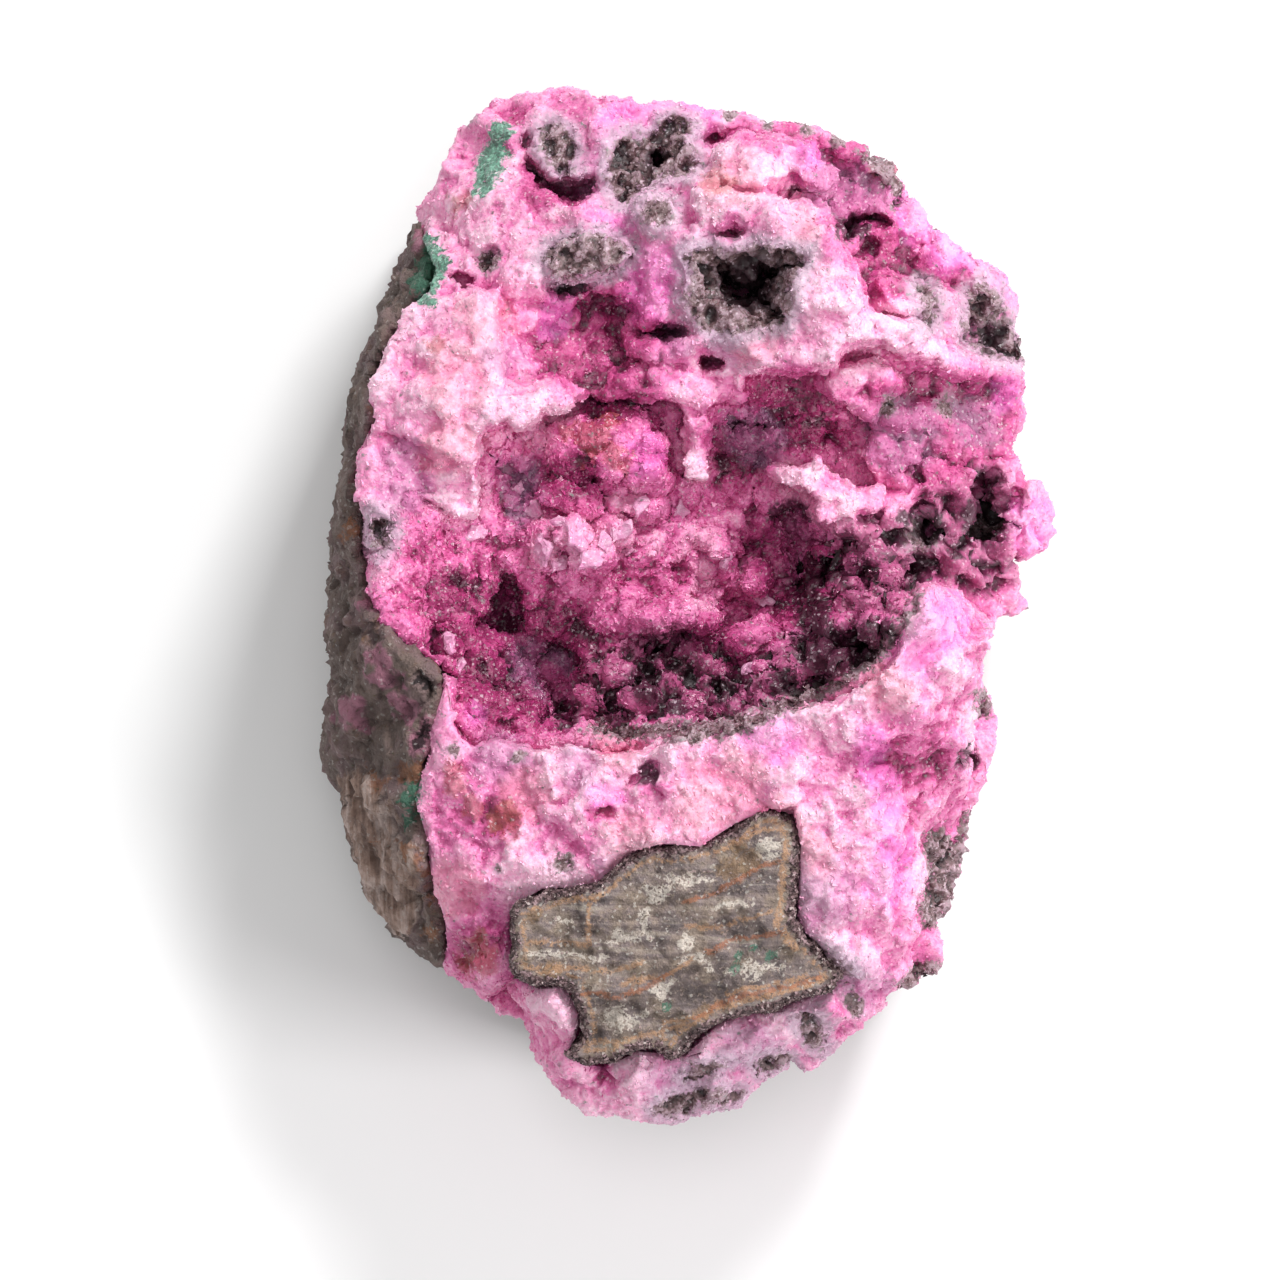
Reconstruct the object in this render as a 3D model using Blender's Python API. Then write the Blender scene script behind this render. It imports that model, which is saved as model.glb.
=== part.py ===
"""Cobaltoan calcite: a pink druse-lined hollow in massive calcite, on its host rock.

The specimen lies on its back. +X is to its right, +Y to its upper end and +Z out of its front.
Its front is a relief: a few dozen crisp forms, each with an outline in plan and the heights of
some marks, are blended into one surface. Three solids share it, and a fourth is the host rock
under and beside them.
"""
import math
from collections import namedtuple

import bmesh
import bpy
from mathutils import Matrix, Vector, noise
from mathutils.geometry import delaunay_2d_cdt

for old in list(bpy.data.objects):
    bpy.data.objects.remove(old)

# Driving dimensions, in metres
LENGTH = 0.110
THICKNESS = 0.054
GAP = 0.0003

# The plans below are drawn in millimetres, for a specimen of this length and thickness
DRAWN_LENGTH = 110.0
DRAWN_THICKNESS = 54.0
PLAN_SCALE = LENGTH / DRAWN_LENGTH
HEIGHT_SCALE = THICKNESS / DRAWN_THICKNESS
CLEAR = GAP / PLAN_SCALE
BED_GAP = 2.4 * CLEAR
POCKET_REACH = 1.2 * CLEAR
WALL_WIDTH = 2.2 * CLEAR

# Heights and depths on the drawing
SEAT = 9.0
CLAST_DEPTH = 8.0
CRUST_LEAST = 1.2

# Spacing of the mesh corners of each piece, and the smallest form whose edge is drawn crisp
CALCITE_SPACING = 2.6
CRUST_SPACING = 1.95
HOST_SPACING = 5.0
CLAST_SPACING = 2.6
CLAST_BED_SPACING = 5.2
MERGE_REACH = 0.12
LEAST_CALCITE_FORM = 2.0
LEAST_DRUSE_FORM = 1.0

# Rings down the sides, from the front's rim to the foot: the share of the height that is left,
# how far the ring lies inside the rim, and for the calcite how many neighbours smooth it and
# how rough it is
HOST_RINGS = ((0.6, -0.3), (0.24, 2.2), (0.0, 5.4))
CALCITE_RINGS = ((0.82, 2, 0.3, 0.6), (0.45, 4, 1.0, 1.8), (0.0, 5, 2.8, 1.6))
RIM_SMOOTHING = 5
RIM_INSET = 2.8
RIM_ROUGHNESS = 1.6

Form = namedtuple("Form", "name edge outline marks")

# Outside outline as seen from the front, starting at the top left corner and going clockwise
OUTLINE = [
    (-28.6, 41.5), (-27.4, 44.0), (-26.0, 46.6), (-24.8, 48.4), (-24.3, 50.0), (-22.8, 51.8),
    (-21.8, 53.1),
    (-19.2, 53.5), (-16.4, 53.8), (-14.9, 54.7), (-13.4, 55.0), (-11.5, 54.3), (-10.7, 53.3),
    (-8.6, 53.5),
    (-6.2, 52.8), (-4.6, 52.4), (-1.2, 52.9), (1.8, 52.4), (5.0, 51.7), (9.5, 50.6), (12.4, 50.2),
    (15.2, 49.3), (17.6, 48.6), (20.2, 46.9), (22.2, 45.0), (22.8, 43.8), (21.9, 42.7), (23.6, 42.6),
    (24.5, 41.8), (25.0, 39.6), (26.9, 39.2), (28.3, 37.9), (29.4, 36.6), (31.4, 35.8), (33.4, 34.5),
    (34.9, 32.4), (34.3, 30.6), (33.8, 29.3), (35.0, 28.4), (35.5, 26.8), (34.5, 24.6), (34.6, 22.4),
    (34.9, 19.8), (33.9, 17.6), (33.6, 16.2), (34.8, 14.6), (35.2, 12.9), (37.1, 12.8), (37.9, 10.8),
    (38.1, 9.2), (38.4, 7.6), (37.0, 6.0), (35.5, 4.7), (34.3, 5.4), (34.0, 3.0), (34.8, 1.2),
    (35.7, -0.3), (34.2, -0.9), (32.9, -0.8), (31.9, -2.2), (31.1, -3.9), (30.3, -6.2), (29.9, -8.7),
    (31.2, -9.1), (31.6, -10.8), (32.2, -12.0), (31.8, -14.8), (31.4, -17.4), (30.2, -19.8),
    (29.5, -21.8), (29.3, -24.4), (28.7, -26.8), (27.8, -29.2), (26.6, -32.0), (25.8, -34.4),
    (26.3, -36.8), (26.5, -38.3), (25.0, -39.5), (22.6, -40.4), (20.6, -41.0), (19.4, -42.7),
    (17.8, -44.0), (16.3, -45.5), (15.0, -47.0), (13.8, -48.4), (12.5, -49.2), (10.6, -48.2),
    (9.0, -49.5), (7.3, -49.9), (5.9, -51.9), (4.8, -53.0), (1.2, -53.4), (-0.4, -54.3), (-1.6, -55.0),
    (-4.6, -54.6), (-7.4, -53.8), (-10.0, -54.1), (-12.4, -52.8), (-14.4, -50.8), (-16.0, -48.4),
    (-16.9, -46.4), (-16.9, -45.2), (-19.0, -43.9), (-22.4, -41.7), (-24.5, -40.0), (-26.0, -38.1),
    (-28.4, -36.3), (-30.8, -34.5), (-31.8, -32.8), (-33.3, -31.0), (-34.3, -28.2), (-35.6, -26.2),
    (-36.1, -23.0), (-36.4, -20.4), (-37.4, -17.8), (-38.3, -15.6), (-38.6, -13.4), (-37.8, -10.8),
    (-37.5, -8.6), (-38.1, -4.0), (-38.0, 0.4), (-38.1, 2.4), (-37.4, 4.6), (-37.3, 9.2), (-36.6, 13.0),
    (-36.1, 18.0), (-35.0, 22.4), (-34.0, 26.4), (-32.4, 30.6), (-30.8, 35.0), (-29.6, 38.6)]
# Where the calcite ends and the host rock of the left flank begins, from the top corner to the bottom one
FLANK_LINE = [
    (-28.0, 38.6), (-27.2, 35.4), (-27.4, 33.2), (-29.9, 30.6), (-32.0, 27.0), (-33.5, 23.0),
    (-33.4, 18.6), (-34.8, 15.6), (-35.2, 12.2), (-34.6, 9.0), (-34.8, 6.4), (-34.2, 3.0),
    (-33.5, -1.0),
    (-31.6, -3.0), (-29.4, -4.4), (-27.2, -6.0), (-25.9, -8.2), (-26.6, -12.0), (-27.4, -15.2),
    (-28.8, -19.2), (-28.4, -22.4), (-27.5, -26.0), (-27.1, -30.0), (-25.9, -32.6), (-25.8, -35.6)]
HOLLOW = [
    (-22.8, 14.6), (-22.0, 16.0), (-22.3, 17.2), (-21.6, 18.2), (-19.6, 18.7), (-18.4, 18.0),
    (-16.6, 18.8),
    (-15.4, 20.0), (-13.6, 20.2), (-12.4, 21.3), (-9.5, 21.3), (-7.5, 21.9), (-4.0, 21.5), (-1.6, 20.9),
    (-1.1, 18.4), (-0.5, 16.8), (-1.3, 13.2), (-0.4, 12.5), (1.7, 12.8), (1.9, 13.8), (1.4, 15.6),
    (1.9, 17.2), (2.2, 18.6), (2.0, 21.0), (4.2, 20.9), (6.1, 21.2), (5.6, 22.8), (5.8, 24.0),
    (8.0, 24.3),
    (11.0, 23.9), (12.7, 24.6), (13.6, 22.4), (14.8, 21.1), (16.4, 20.5), (18.0, 19.3), (19.2, 18.6),
    (18.0, 16.4), (18.2, 14.2), (19.4, 13.0), (17.4, 12.6), (15.6, 13.4), (14.7, 15.1), (13.2, 15.6),
    (11.0, 14.9), (8.8, 15.2), (7.6, 13.8), (8.6, 12.9), (11.8, 11.7), (13.1, 10.9), (12.3, 9.8),
    (13.2, 8.6), (14.8, 7.8), (15.6, 6.4), (16.6, 5.0), (19.2, 3.7), (20.2, 5.0), (20.6, 2.6),
    (20.2, 0.6),
    (22.2, -0.8), (21.6, -3.4), (20.4, -6.4), (18.0, -8.2), (15.0, -9.8), (12.0, -10.5), (9.0, -10.7),
    (5.0, -11.6), (2.0, -12.3), (-0.6, -12.8), (-3.0, -14.2), (-5.0, -15.2), (-8.0, -15.4),
    (-11.0, -14.6),
    (-13.5, -14.3), (-15.5, -15.3), (-18.0, -14.8), (-20.5, -14.1), (-23.0, -14.3), (-24.8, -12.8),
    (-25.0, -10.6), (-24.8, -8.4), (-26.0, -6.6), (-28.6, -5.0), (-31.2, -3.2), (-32.6, -1.2),
    (-33.2, 1.6),
    (-33.2, 4.2), (-31.8, 5.6), (-31.2, 7.6), (-31.0, 9.6), (-29.6, 11.0), (-27.8, 9.8), (-25.8, 9.4),
    (-24.0, 8.6), (-22.6, 9.2), (-22.0, 10.6), (-22.0, 12.2)]
CLAST = [
    (-18.9, -31.9), (-17.2, -31.0), (-15.0, -30.4), (-10.5, -30.0), (-8.8, -28.6), (-6.5, -27.0),
    (-5.0, -26.0), (0.0, -25.6), (2.4, -24.9), (4.0, -24.0), (5.5, -22.8), (7.0, -21.8), (8.6, -21.7),
    (10.2, -22.6), (11.0, -25.6), (10.8, -28.6), (10.4, -33.4), (11.4, -35.0), (13.0, -36.2),
    (15.0, -38.6),
    (15.3, -39.4), (14.6, -40.5), (10.6, -41.4), (8.4, -42.6), (3.4, -43.4), (1.4, -44.6),
    (-0.4, -46.0),
    (-0.8, -47.2), (-2.2, -47.8), (-3.4, -46.7), (-5.0, -46.5), (-7.0, -47.0), (-8.2, -48.0),
    (-11.4, -48.3), (-12.9, -47.8), (-12.5, -46.5), (-11.2, -45.8), (-11.5, -43.8), (-12.5, -40.6),
    (-14.0, -40.0), (-16.4, -40.0), (-18.6, -38.9), (-19.0, -37.6), (-18.4, -35.8), (-18.8, -34.0)]
# Crisp forms of the front: name, width of the edge, outline, and height marks (x, y, height)
FORMS = [
    ("left flank", 0.8,
     [(-28.6, 41.5)] + FLANK_LINE + [(-26.0, -38.1), (-29.0, -39.0), (-42.0, -30.0),
      (-42.0, 30.0), (-32.0, 42.0)],
     [(-28.4, 38.0, 29), (-28.6, 33.0, 32), (-32.0, 27.4, 32), (-34.0, 20.0, 34), (-35.4, 13.0, 34),
      (-35.0, 6.0, 36), (-34.0, 0.0, 38), (-31.0, -5.0, 38.5), (-28.6, -8.0, 37.5), (-29.0, -14.0, 37),
      (-30.0, -20.0, 35), (-29.0, -27.0, 33), (-27.0, -34.0, 29), (-26.6, -37.0, 25), (-36.4, 14.0, 24),
      (-36.9, 6.0, 25), (-36.8, -2.0, 27), (-35.0, -8.0, 33), (-36.6, -13.0, 29), (-34.0, -20.0, 30),
      (-34.0, -26.0, 24), (-31.0, -30.0, 25), (-30.0, -34.0, 21), (-38.0, 2.0, 18), (-37.4, -8.0, 20),
      (-38.4, -14.0, 19), (-36.6, -20.0, 19), (-35.6, -26.0, 18), (-33.2, -31.0, 18), (-36.2, 18.0, 20),
      (-34.2, 26.0, 20), (-31.0, 34.5, 21), (-29.6, 38.6, 22)]),
    ("upper left mass", 0.8,
     [(-33.6, 17.6), (-33.5, 23.0), (-32.0, 27.0), (-29.9, 30.6), (-27.4, 33.2), (-25.0, 32.6),
      (-23.0, 33.6),
      (-20.4, 33.0), (-20.0, 28.0), (-20.4, 25.0), (-19.8, 22.2), (-17.4, 22.4), (-14.4, 23.0),
      (-12.6, 22.0),
      (-12.6, 21.0), (-13.6, 20.2), (-15.4, 20.0), (-16.6, 18.8), (-18.4, 18.0), (-19.6, 18.7),
      (-21.6, 18.2),
      (-22.3, 17.2), (-22.0, 16.0), (-22.8, 14.6), (-24.4, 13.9), (-26.2, 14.8), (-28.4, 16.0),
      (-30.8, 17.4)],
     [(-32.6, 20.0, 37), (-31.0, 26.0, 35.5), (-28.0, 31.0, 35.5), (-26.0, 22.0, 41),
      (-22.0, 28.0, 39.5),
      (-22.0, 20.0, 41.5), (-17.0, 20.5, 41), (-14.0, 21.2, 39.5), (-23.2, 15.6, 39.5),
      (-28.0, 17.4, 39.5),
      (-21.4, 32.0, 38.5), (-27.0, 28.0, 38.5)]),
    ("dusky facet", 0.6,
     [(-33.4, 17.6), (-30.8, 17.4), (-28.4, 16.0), (-26.2, 14.8), (-27.2, 13.9), (-29.6, 12.2),
      (-31.2, 13.6),
      (-32.6, 15.4)],
     [(-31.4, 16.2, 36.5), (-28.0, 14.3, 35.5)]),
    ("left rim crust", 0.6,
     [(-34.8, 15.6), (-33.4, 17.4), (-32.6, 15.4), (-31.2, 13.6), (-29.8, 12.2), (-29.6, 11.0),
      (-31.0, 9.6),
      (-31.2, 7.6), (-31.8, 5.6), (-33.6, 5.0), (-34.7, 6.6), (-34.6, 9.0), (-35.2, 12.2)],
     [(-34.0, 13.0, 36.8), (-33.4, 10.6, 36.8), (-31.0, 12.0, 36), (-32.0, 6.2, 36.4)]),
    ("left rim pit", 0.7,
     [(-34.1, 8.4), (-33.4, 9.4), (-32.4, 9.2), (-31.8, 8.0), (-32.0, 6.6), (-32.8, 5.8), (-33.8, 6.8)],
     [(-33.0, 7.6, 34.2)]),
    ("pale lumps left", 1.0,
     [(-29.6, 11.2), (-28.6, 13.2), (-27.2, 13.9), (-24.4, 13.9), (-22.8, 13.9), (-22.0, 12.2),
      (-22.0, 10.6),
      (-22.6, 9.2), (-24.0, 8.6), (-25.8, 9.4), (-27.8, 9.8)],
     [(-27.2, 12.0, 35.6), (-24.0, 12.0, 34.8), (-23.2, 10.0, 33.4)]),
    ("pit over the mass", 0.6,
     [(-25.3, 34.4), (-24.5, 35.8), (-23.0, 34.9), (-21.6, 34.4), (-22.8, 33.7), (-24.6, 33.1)],
     [(-23.8, 34.3, 31.5)]),
    ("top pocket", 0.8,
     [(-18.3, 49.4), (-17.6, 50.2), (-16.6, 49.6), (-16.9, 48.2), (-17.2, 47.4), (-16.0, 46.2),
      (-14.6, 45.2),
      (-12.4, 45.1), (-10.0, 45.6), (-9.3, 44.6), (-9.8, 43.4), (-11.0, 42.2), (-12.5, 41.6),
      (-14.5, 42.2),
      (-15.4, 43.3), (-16.8, 43.8), (-17.8, 44.8), (-18.6, 45.8), (-18.4, 47.6)],
     [(-17.6, 47.6, 25), (-15.0, 44.0, 21), (-11.0, 43.8, 24)]),
    ("dark cell", 0.6,
     [(-16.8, 49.6), (-15.5, 50.6), (-14.0, 50.4), (-13.0, 49.3), (-12.4, 47.8), (-12.5, 46.2),
      (-13.2, 45.2),
      (-14.4, 45.5), (-15.6, 46.4), (-16.9, 47.4)],
     [(-14.6, 48.0, 31)]),
    ("top sponge", 0.7,
     [(-8.8, 47.5), (-8.2, 49.3), (-7.0, 50.5), (-5.6, 50.2), (-4.4, 50.0), (-3.0, 51.0), (-1.8, 51.7),
      (-0.4, 51.2), (0.0, 50.0), (-0.6, 49.0), (0.4, 47.6), (0.6, 46.3), (-0.4, 45.0), (-2.5, 45.0),
      (-4.0, 44.3), (-5.5, 44.0), (-6.5, 42.2), (-7.8, 42.2), (-8.4, 44.0), (-8.9, 45.5)],
     [(-7.0, 49.0, 30.5), (-7.5, 43.0, 32.5), (-1.0, 46.0, 32), (-2.0, 50.8, 29)]),
    ("top sponge hole", 0.5,
     [(-5.0, 47.6), (-4.2, 48.3), (-3.2, 48.0), (-2.6, 47.2), (-2.9, 46.2), (-4.0, 45.9), (-4.9, 46.4)],
     [(-3.8, 47.0, 17)]),
    ("round spot", 0.6,
     [(-6.6, 41.2), (-5.6, 43.0), (-3.9, 43.8), (-2.0, 43.0), (-1.2, 41.2), (-1.8, 39.4), (-3.6, 38.8),
      (-5.4, 39.0)],
     [(-3.9, 41.0, 39.2)]),
    ("long patch shadow", 0.6,
     [(-16.6, 34.4), (-15.6, 33.0), (-13.6, 31.8), (-11.6, 32.6), (-10.0, 33.4), (-10.0, 34.6),
      (-12.4, 34.2),
      (-14.6, 34.2)],
     [(-14.0, 33.0, 30.5), (-11.0, 33.6, 31)]),
    ("long patch", 0.6,
     [(-16.0, 36.0), (-15.0, 37.6), (-13.5, 38.4), (-11.5, 39.0), (-9.5, 39.2), (-8.0, 38.6),
      (-6.4, 37.6),
      (-6.1, 36.6), (-7.4, 35.6), (-9.5, 34.8), (-11.0, 34.6), (-12.5, 34.0), (-14.0, 33.9),
      (-15.4, 34.8)],
     [(-11.0, 37.0, 39.2)]),
    ("druse band", 1.2,
     [(-20.0, 31.5), (-17.0, 32.8), (-14.0, 32.0), (-11.0, 33.4), (-9.0, 33.8), (-6.0, 32.2),
      (-4.4, 30.2),
      (-6.5, 28.6), (-5.5, 26.5), (-4.8, 25.0), (-8.0, 23.3), (-7.4, 22.0), (-9.5, 21.3), (-12.4, 21.4),
      (-12.8, 22.2), (-14.5, 23.0), (-17.4, 22.4), (-19.8, 22.2), (-20.4, 25.0), (-20.0, 28.0)],
     [(-18.0, 30.5, 35.5), (-18.2, 24.0, 36.5), (-14.0, 27.0, 32), (-10.0, 30.0, 30), (-10.0, 24.0, 31),
      (-6.5, 30.0, 28), (-7.0, 26.0, 29), (-14.0, 31.0, 33)]),
    ("crown", 0.8,
     [(-0.4, 44.6), (1.4, 44.0), (5.0, 43.6), (7.4, 43.2), (10.2, 43.1), (11.2, 42.6), (12.0, 43.0),
      (13.0, 42.4), (14.0, 41.0), (14.9, 39.4), (15.3, 38.0), (15.8, 36.2), (17.2, 35.2), (17.8, 33.8),
      (18.8, 31.0), (20.5, 30.6), (23.0, 30.0), (25.0, 29.0), (28.5, 27.2), (30.5, 26.4), (33.0, 25.4),
      (34.4, 24.8), (34.0, 24.0), (31.5, 24.2), (30.0, 23.4), (26.6, 24.6), (25.2, 25.6), (22.4, 25.2),
      (21.4, 26.2), (20.0, 27.2), (17.4, 27.4), (16.0, 26.6), (15.4, 25.0), (14.0, 24.4), (12.6, 24.9),
      (11.0, 24.2), (7.0, 24.3), (5.8, 25.4), (4.6, 26.4), (3.0, 26.8), (0.4, 26.4), (-0.4, 25.4),
      (-2.6, 25.5), (-5.3, 26.4), (-5.2, 27.4), (-3.2, 27.0), (-1.2, 27.9), (0.0, 28.3), (-0.6, 29.4),
      (-2.4, 31.6), (-1.6, 33.5), (-2.2, 37.0), (-1.2, 38.2), (0.0, 40.0), (-1.0, 42.0)],
     [(0.0, 40.0, 40), (5.0, 42.0, 42), (12.0, 41.0, 43.5), (14.0, 38.0, 45.5), (13.0, 33.0, 46),
      (15.8, 31.0, 45.5), (12.0, 28.0, 43), (16.0, 28.0, 43.5), (20.0, 29.0, 40), (25.0, 27.0, 35),
      (30.0, 25.5, 29), (34.0, 24.8, 23), (0.0, 33.0, 39.5), (5.0, 29.5, 40.5), (2.0, 27.5, 39),
      (8.0, 26.0, 41), (-3.0, 26.2, 37.5), (5.0, 38.0, 41.5), (10.0, 38.4, 44)]),
    ("crown lobe", 0.8,
     [(1.2, 45.0), (2.2, 46.4), (2.6, 48.0), (4.0, 48.6), (5.0, 49.3), (8.0, 48.8), (12.0, 48.8),
      (12.9, 48.2),
      (13.3, 47.0), (14.6, 45.0), (14.4, 43.6), (13.6, 42.8), (12.0, 43.9), (10.4, 44.6), (8.6, 44.4),
      (7.2, 43.4), (5.0, 43.6), (1.4, 44.0)],
     [(3.0, 46.5, 38.5), (8.0, 46.6, 40.5), (12.5, 45.5, 40.5), (5.0, 44.0, 41), (10.0, 48.2, 38.5)]),
    ("crown slit", 0.4,
     [(7.4, 43.2), (9.0, 43.9), (10.8, 44.5), (12.0, 43.9), (13.0, 43.2), (12.4, 42.8), (11.2, 42.6),
      (10.2, 43.1)],
     [(10.6, 43.5, 33)]),
    ("magenta pit", 0.5,
     [(1.4, 39.5), (2.0, 40.3), (4.6, 40.0), (5.6, 39.0), (5.4, 38.2), (4.2, 38.2), (2.8, 38.9)],
     [(3.8, 39.2, 33)]),
    ("star hole dish", 1.2,
     [(0.4, 36.4), (3.0, 37.0), (6.0, 37.4), (9.0, 37.2), (11.8, 36.8), (12.0, 35.6), (10.8, 34.0),
      (10.4, 32.0), (10.0, 29.8), (8.0, 29.4), (5.5, 30.0), (3.0, 30.6), (1.4, 32.0), (0.8, 34.0)],
     [(1.8, 34.0, 37.5), (9.8, 32.0, 40), (6.0, 36.8, 39.5), (10.8, 36.4, 41), (5.0, 30.6, 38)]),
    ("star hole", 0.6,
     [(2.5, 35.0), (3.4, 36.0), (4.4, 35.2), (5.0, 34.4), (6.4, 34.3), (6.6, 36.2), (8.6, 36.0),
      (10.6, 36.4),
      (11.1, 35.4), (9.8, 34.5), (8.4, 33.4), (8.0, 32.4), (9.4, 30.6), (9.0, 29.9), (7.6, 30.5),
      (6.3, 31.6),
      (4.2, 31.7), (3.0, 32.8)],
     [(6.0, 33.6, 14)]),
    ("crown side hole", 0.5,
     [(0.2, 25.4), (0.8, 26.3), (2.2, 26.5), (3.6, 26.2), (4.0, 25.4), (3.2, 24.7), (1.6, 24.6),
      (0.5, 24.8)],
     [(2.0, 25.5, 26)]),
    ("cross plate", 0.6,
     [(-8.0, 22.4), (-7.0, 23.2), (-5.6, 22.9), (-4.6, 24.8), (-2.6, 25.4), (0.0, 24.6), (2.5, 24.3),
      (4.2, 23.9), (5.0, 22.6), (6.1, 21.4), (5.6, 20.8), (2.0, 21.2), (-1.5, 21.0), (-4.0, 21.6),
      (-6.2, 21.7)],
     [(-6.6, 22.4, 35.5), (-2.0, 23.5, 37), (3.0, 22.4, 35.5), (5.6, 21.2, 33.5)]),
    ("cross plate stem", 0.6,
     [(-1.6, 21.2), (-1.0, 18.6), (-0.5, 16.8), (-1.3, 13.2), (-0.4, 12.5), (1.7, 12.8), (1.9, 13.8),
      (1.4, 15.6), (1.9, 17.2), (2.2, 18.6), (2.0, 21.2)],
     [(0.4, 20.0, 34.5), (0.4, 13.5, 32)]),
    ("shadow hollow", 0.7,
     [(-7.2, 28.9), (-5.0, 29.6), (-2.5, 30.2), (-0.4, 29.2), (0.0, 28.2), (-1.4, 27.8), (-3.2, 27.0),
      (-5.4, 27.4), (-6.6, 27.9)],
     [(-3.6, 28.4, 22)]),
    ("shell pocket", 0.8,
     [(1.6, 51.2), (5.0, 50.6), (9.5, 49.9), (13.0, 49.5), (16.0, 48.5), (18.4, 47.2), (20.0, 45.8),
      (21.8, 44.4), (22.2, 43.6), (21.3, 42.6), (20.8, 41.4), (19.4, 42.4), (17.4, 42.0), (16.0, 41.2),
      (15.8, 39.6), (15.3, 38.0), (14.0, 41.0), (13.0, 42.4), (13.6, 42.8), (14.5, 43.6), (14.6, 45.0),
      (13.3, 47.0), (12.9, 48.2), (12.0, 48.8), (8.0, 48.8), (5.0, 49.3), (2.6, 48.0), (2.2, 46.4),
      (1.4, 45.2), (1.2, 46.6), (1.6, 48.0), (0.4, 49.0), (1.4, 50.0)],
     [(2.0, 49.6, 23), (8.0, 49.6, 25), (14.0, 47.0, 23), (17.0, 45.0, 23.5), (20.0, 44.0, 24),
      (15.5, 42.0, 27), (19.0, 46.0, 25), (21.6, 43.4, 24.5), (3.0, 51.0, 27), (14.0, 49.4, 27)]),
    ("right clusters", 0.8,
     [(21.3, 42.5), (23.4, 43.4), (25.4, 42.4), (25.6, 39.8), (27.6, 39.6), (30.4, 37.0), (34.4, 34.8),
      (35.4, 32.4), (34.2, 30.5), (32.0, 31.0), (29.5, 33.5), (27.4, 32.8), (25.8, 33.6), (24.0, 33.6),
      (22.4, 34.6), (20.0, 35.0), (18.4, 34.0), (17.2, 35.2), (15.8, 36.2), (15.4, 38.0), (16.4, 37.4),
      (17.4, 38.8), (18.6, 40.0), (20.4, 39.2), (21.4, 40.4)],
     [(18.6, 38.0, 24), (18.0, 36.0, 27), (22.0, 38.0, 26), (24.0, 41.0, 24.5), (23.5, 36.0, 23),
      (27.0, 36.0, 26.5), (26.5, 34.2, 23), (29.0, 35.5, 23), (32.0, 34.0, 23.5), (34.6, 32.4, 21)]),
    ("shell pit", 0.6,
     [(16.0, 41.3), (17.4, 42.0), (19.4, 42.0), (20.8, 41.2), (21.4, 40.2), (20.4, 39.2), (18.6, 40.0),
      (17.4, 39.4), (16.6, 37.6), (15.4, 37.8), (15.9, 39.6)],
     [(16.8, 40.4, 14.5), (20.0, 40.6, 19)]),
    ("right shoulder", 0.8,
     [(18.4, 34.0), (20.0, 35.0), (22.4, 34.6), (24.0, 33.6), (25.8, 33.6), (27.4, 32.8), (28.4, 31.6),
      (29.0, 30.0), (28.0, 28.0), (28.5, 27.2), (25.0, 29.0), (23.0, 30.0), (20.5, 30.6), (18.8, 31.0)],
     [(20.0, 32.5, 36.5), (23.0, 33.0, 34.5), (25.0, 31.0, 33), (27.4, 29.0, 30.5), (22.0, 30.6, 38)]),
    ("right sponge", 0.8,
     [(29.4, 33.6), (31.0, 34.2), (32.6, 33.0), (34.0, 31.2), (33.8, 29.4), (35.6, 27.6), (35.6, 26.0),
      (34.4, 24.8), (33.0, 25.4), (30.0, 26.8), (28.0, 27.6), (27.8, 28.6), (28.8, 29.8), (29.0, 31.6)],
     [(31.0, 32.0, 26.5), (30.6, 30.0, 22), (32.4, 28.4, 20), (34.2, 27.0, 21)]),
    ("arch hollow", 0.6,
     [(15.6, 25.2), (16.2, 26.6), (17.4, 27.4), (20.0, 27.2), (21.4, 26.2), (21.4, 25.2), (19.4, 25.8),
      (17.6, 25.4), (16.4, 24.9)],
     [(18.4, 26.4, 31)]),
    ("arch lobe", 0.7,
     [(13.6, 23.6), (14.2, 24.3), (15.4, 25.0), (17.6, 25.4), (19.4, 25.8), (21.2, 25.2), (22.2, 24.0),
      (22.0, 22.6), (20.6, 21.8), (20.0, 20.6), (19.0, 19.5), (18.0, 19.4), (16.4, 20.6), (14.8, 21.2),
      (13.8, 22.2)],
     [(16.0, 23.6, 37), (20.4, 24.2, 36), (18.4, 20.6, 34)]),
    ("right druse", 0.8,
     [(22.2, 25.0), (25.2, 25.6), (26.6, 24.6), (30.0, 23.4), (31.5, 24.2), (34.6, 24.0), (35.4, 19.8),
      (34.6, 16.6), (31.5, 15.2), (29.8, 15.0), (28.5, 14.0), (26.5, 15.0), (24.6, 15.0), (23.0, 18.6),
      (21.0, 18.4), (19.4, 18.8), (20.0, 20.6), (20.6, 21.8), (22.0, 22.6)],
     [(24.0, 23.0, 28), (27.0, 21.0, 26), (30.0, 21.0, 23.5), (33.0, 21.0, 24), (31.8, 17.4, 24.5),
      (22.0, 20.0, 30), (26.0, 17.0, 27), (24.0, 19.0, 29), (34.6, 20.0, 20.5)]),
    ("right pillars", 0.8,
     [(18.2, 17.2), (19.2, 18.6), (20.6, 17.8), (21.8, 16.6), (23.0, 18.0), (24.4, 15.0), (23.0, 13.4),
      (22.6, 12.0), (20.6, 12.2), (19.5, 13.0), (18.4, 14.2), (17.9, 15.6)],
     [(20.0, 16.0, 30), (22.4, 14.6, 29), (20.4, 13.2, 28)]),
    ("pink shard", 0.6,
     [(7.6, 13.8), (8.8, 15.2), (11.0, 14.9), (13.2, 15.6), (14.6, 15.1), (15.4, 13.6), (17.4, 12.6),
      (19.4, 12.9), (20.4, 12.0), (20.2, 10.0), (19.4, 8.6), (20.0, 7.0), (20.2, 5.0), (19.2, 3.7),
      (18.2, 4.6), (16.6, 5.0), (15.6, 6.4), (14.8, 7.8), (13.2, 8.6), (12.3, 9.8), (13.1, 10.9),
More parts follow.
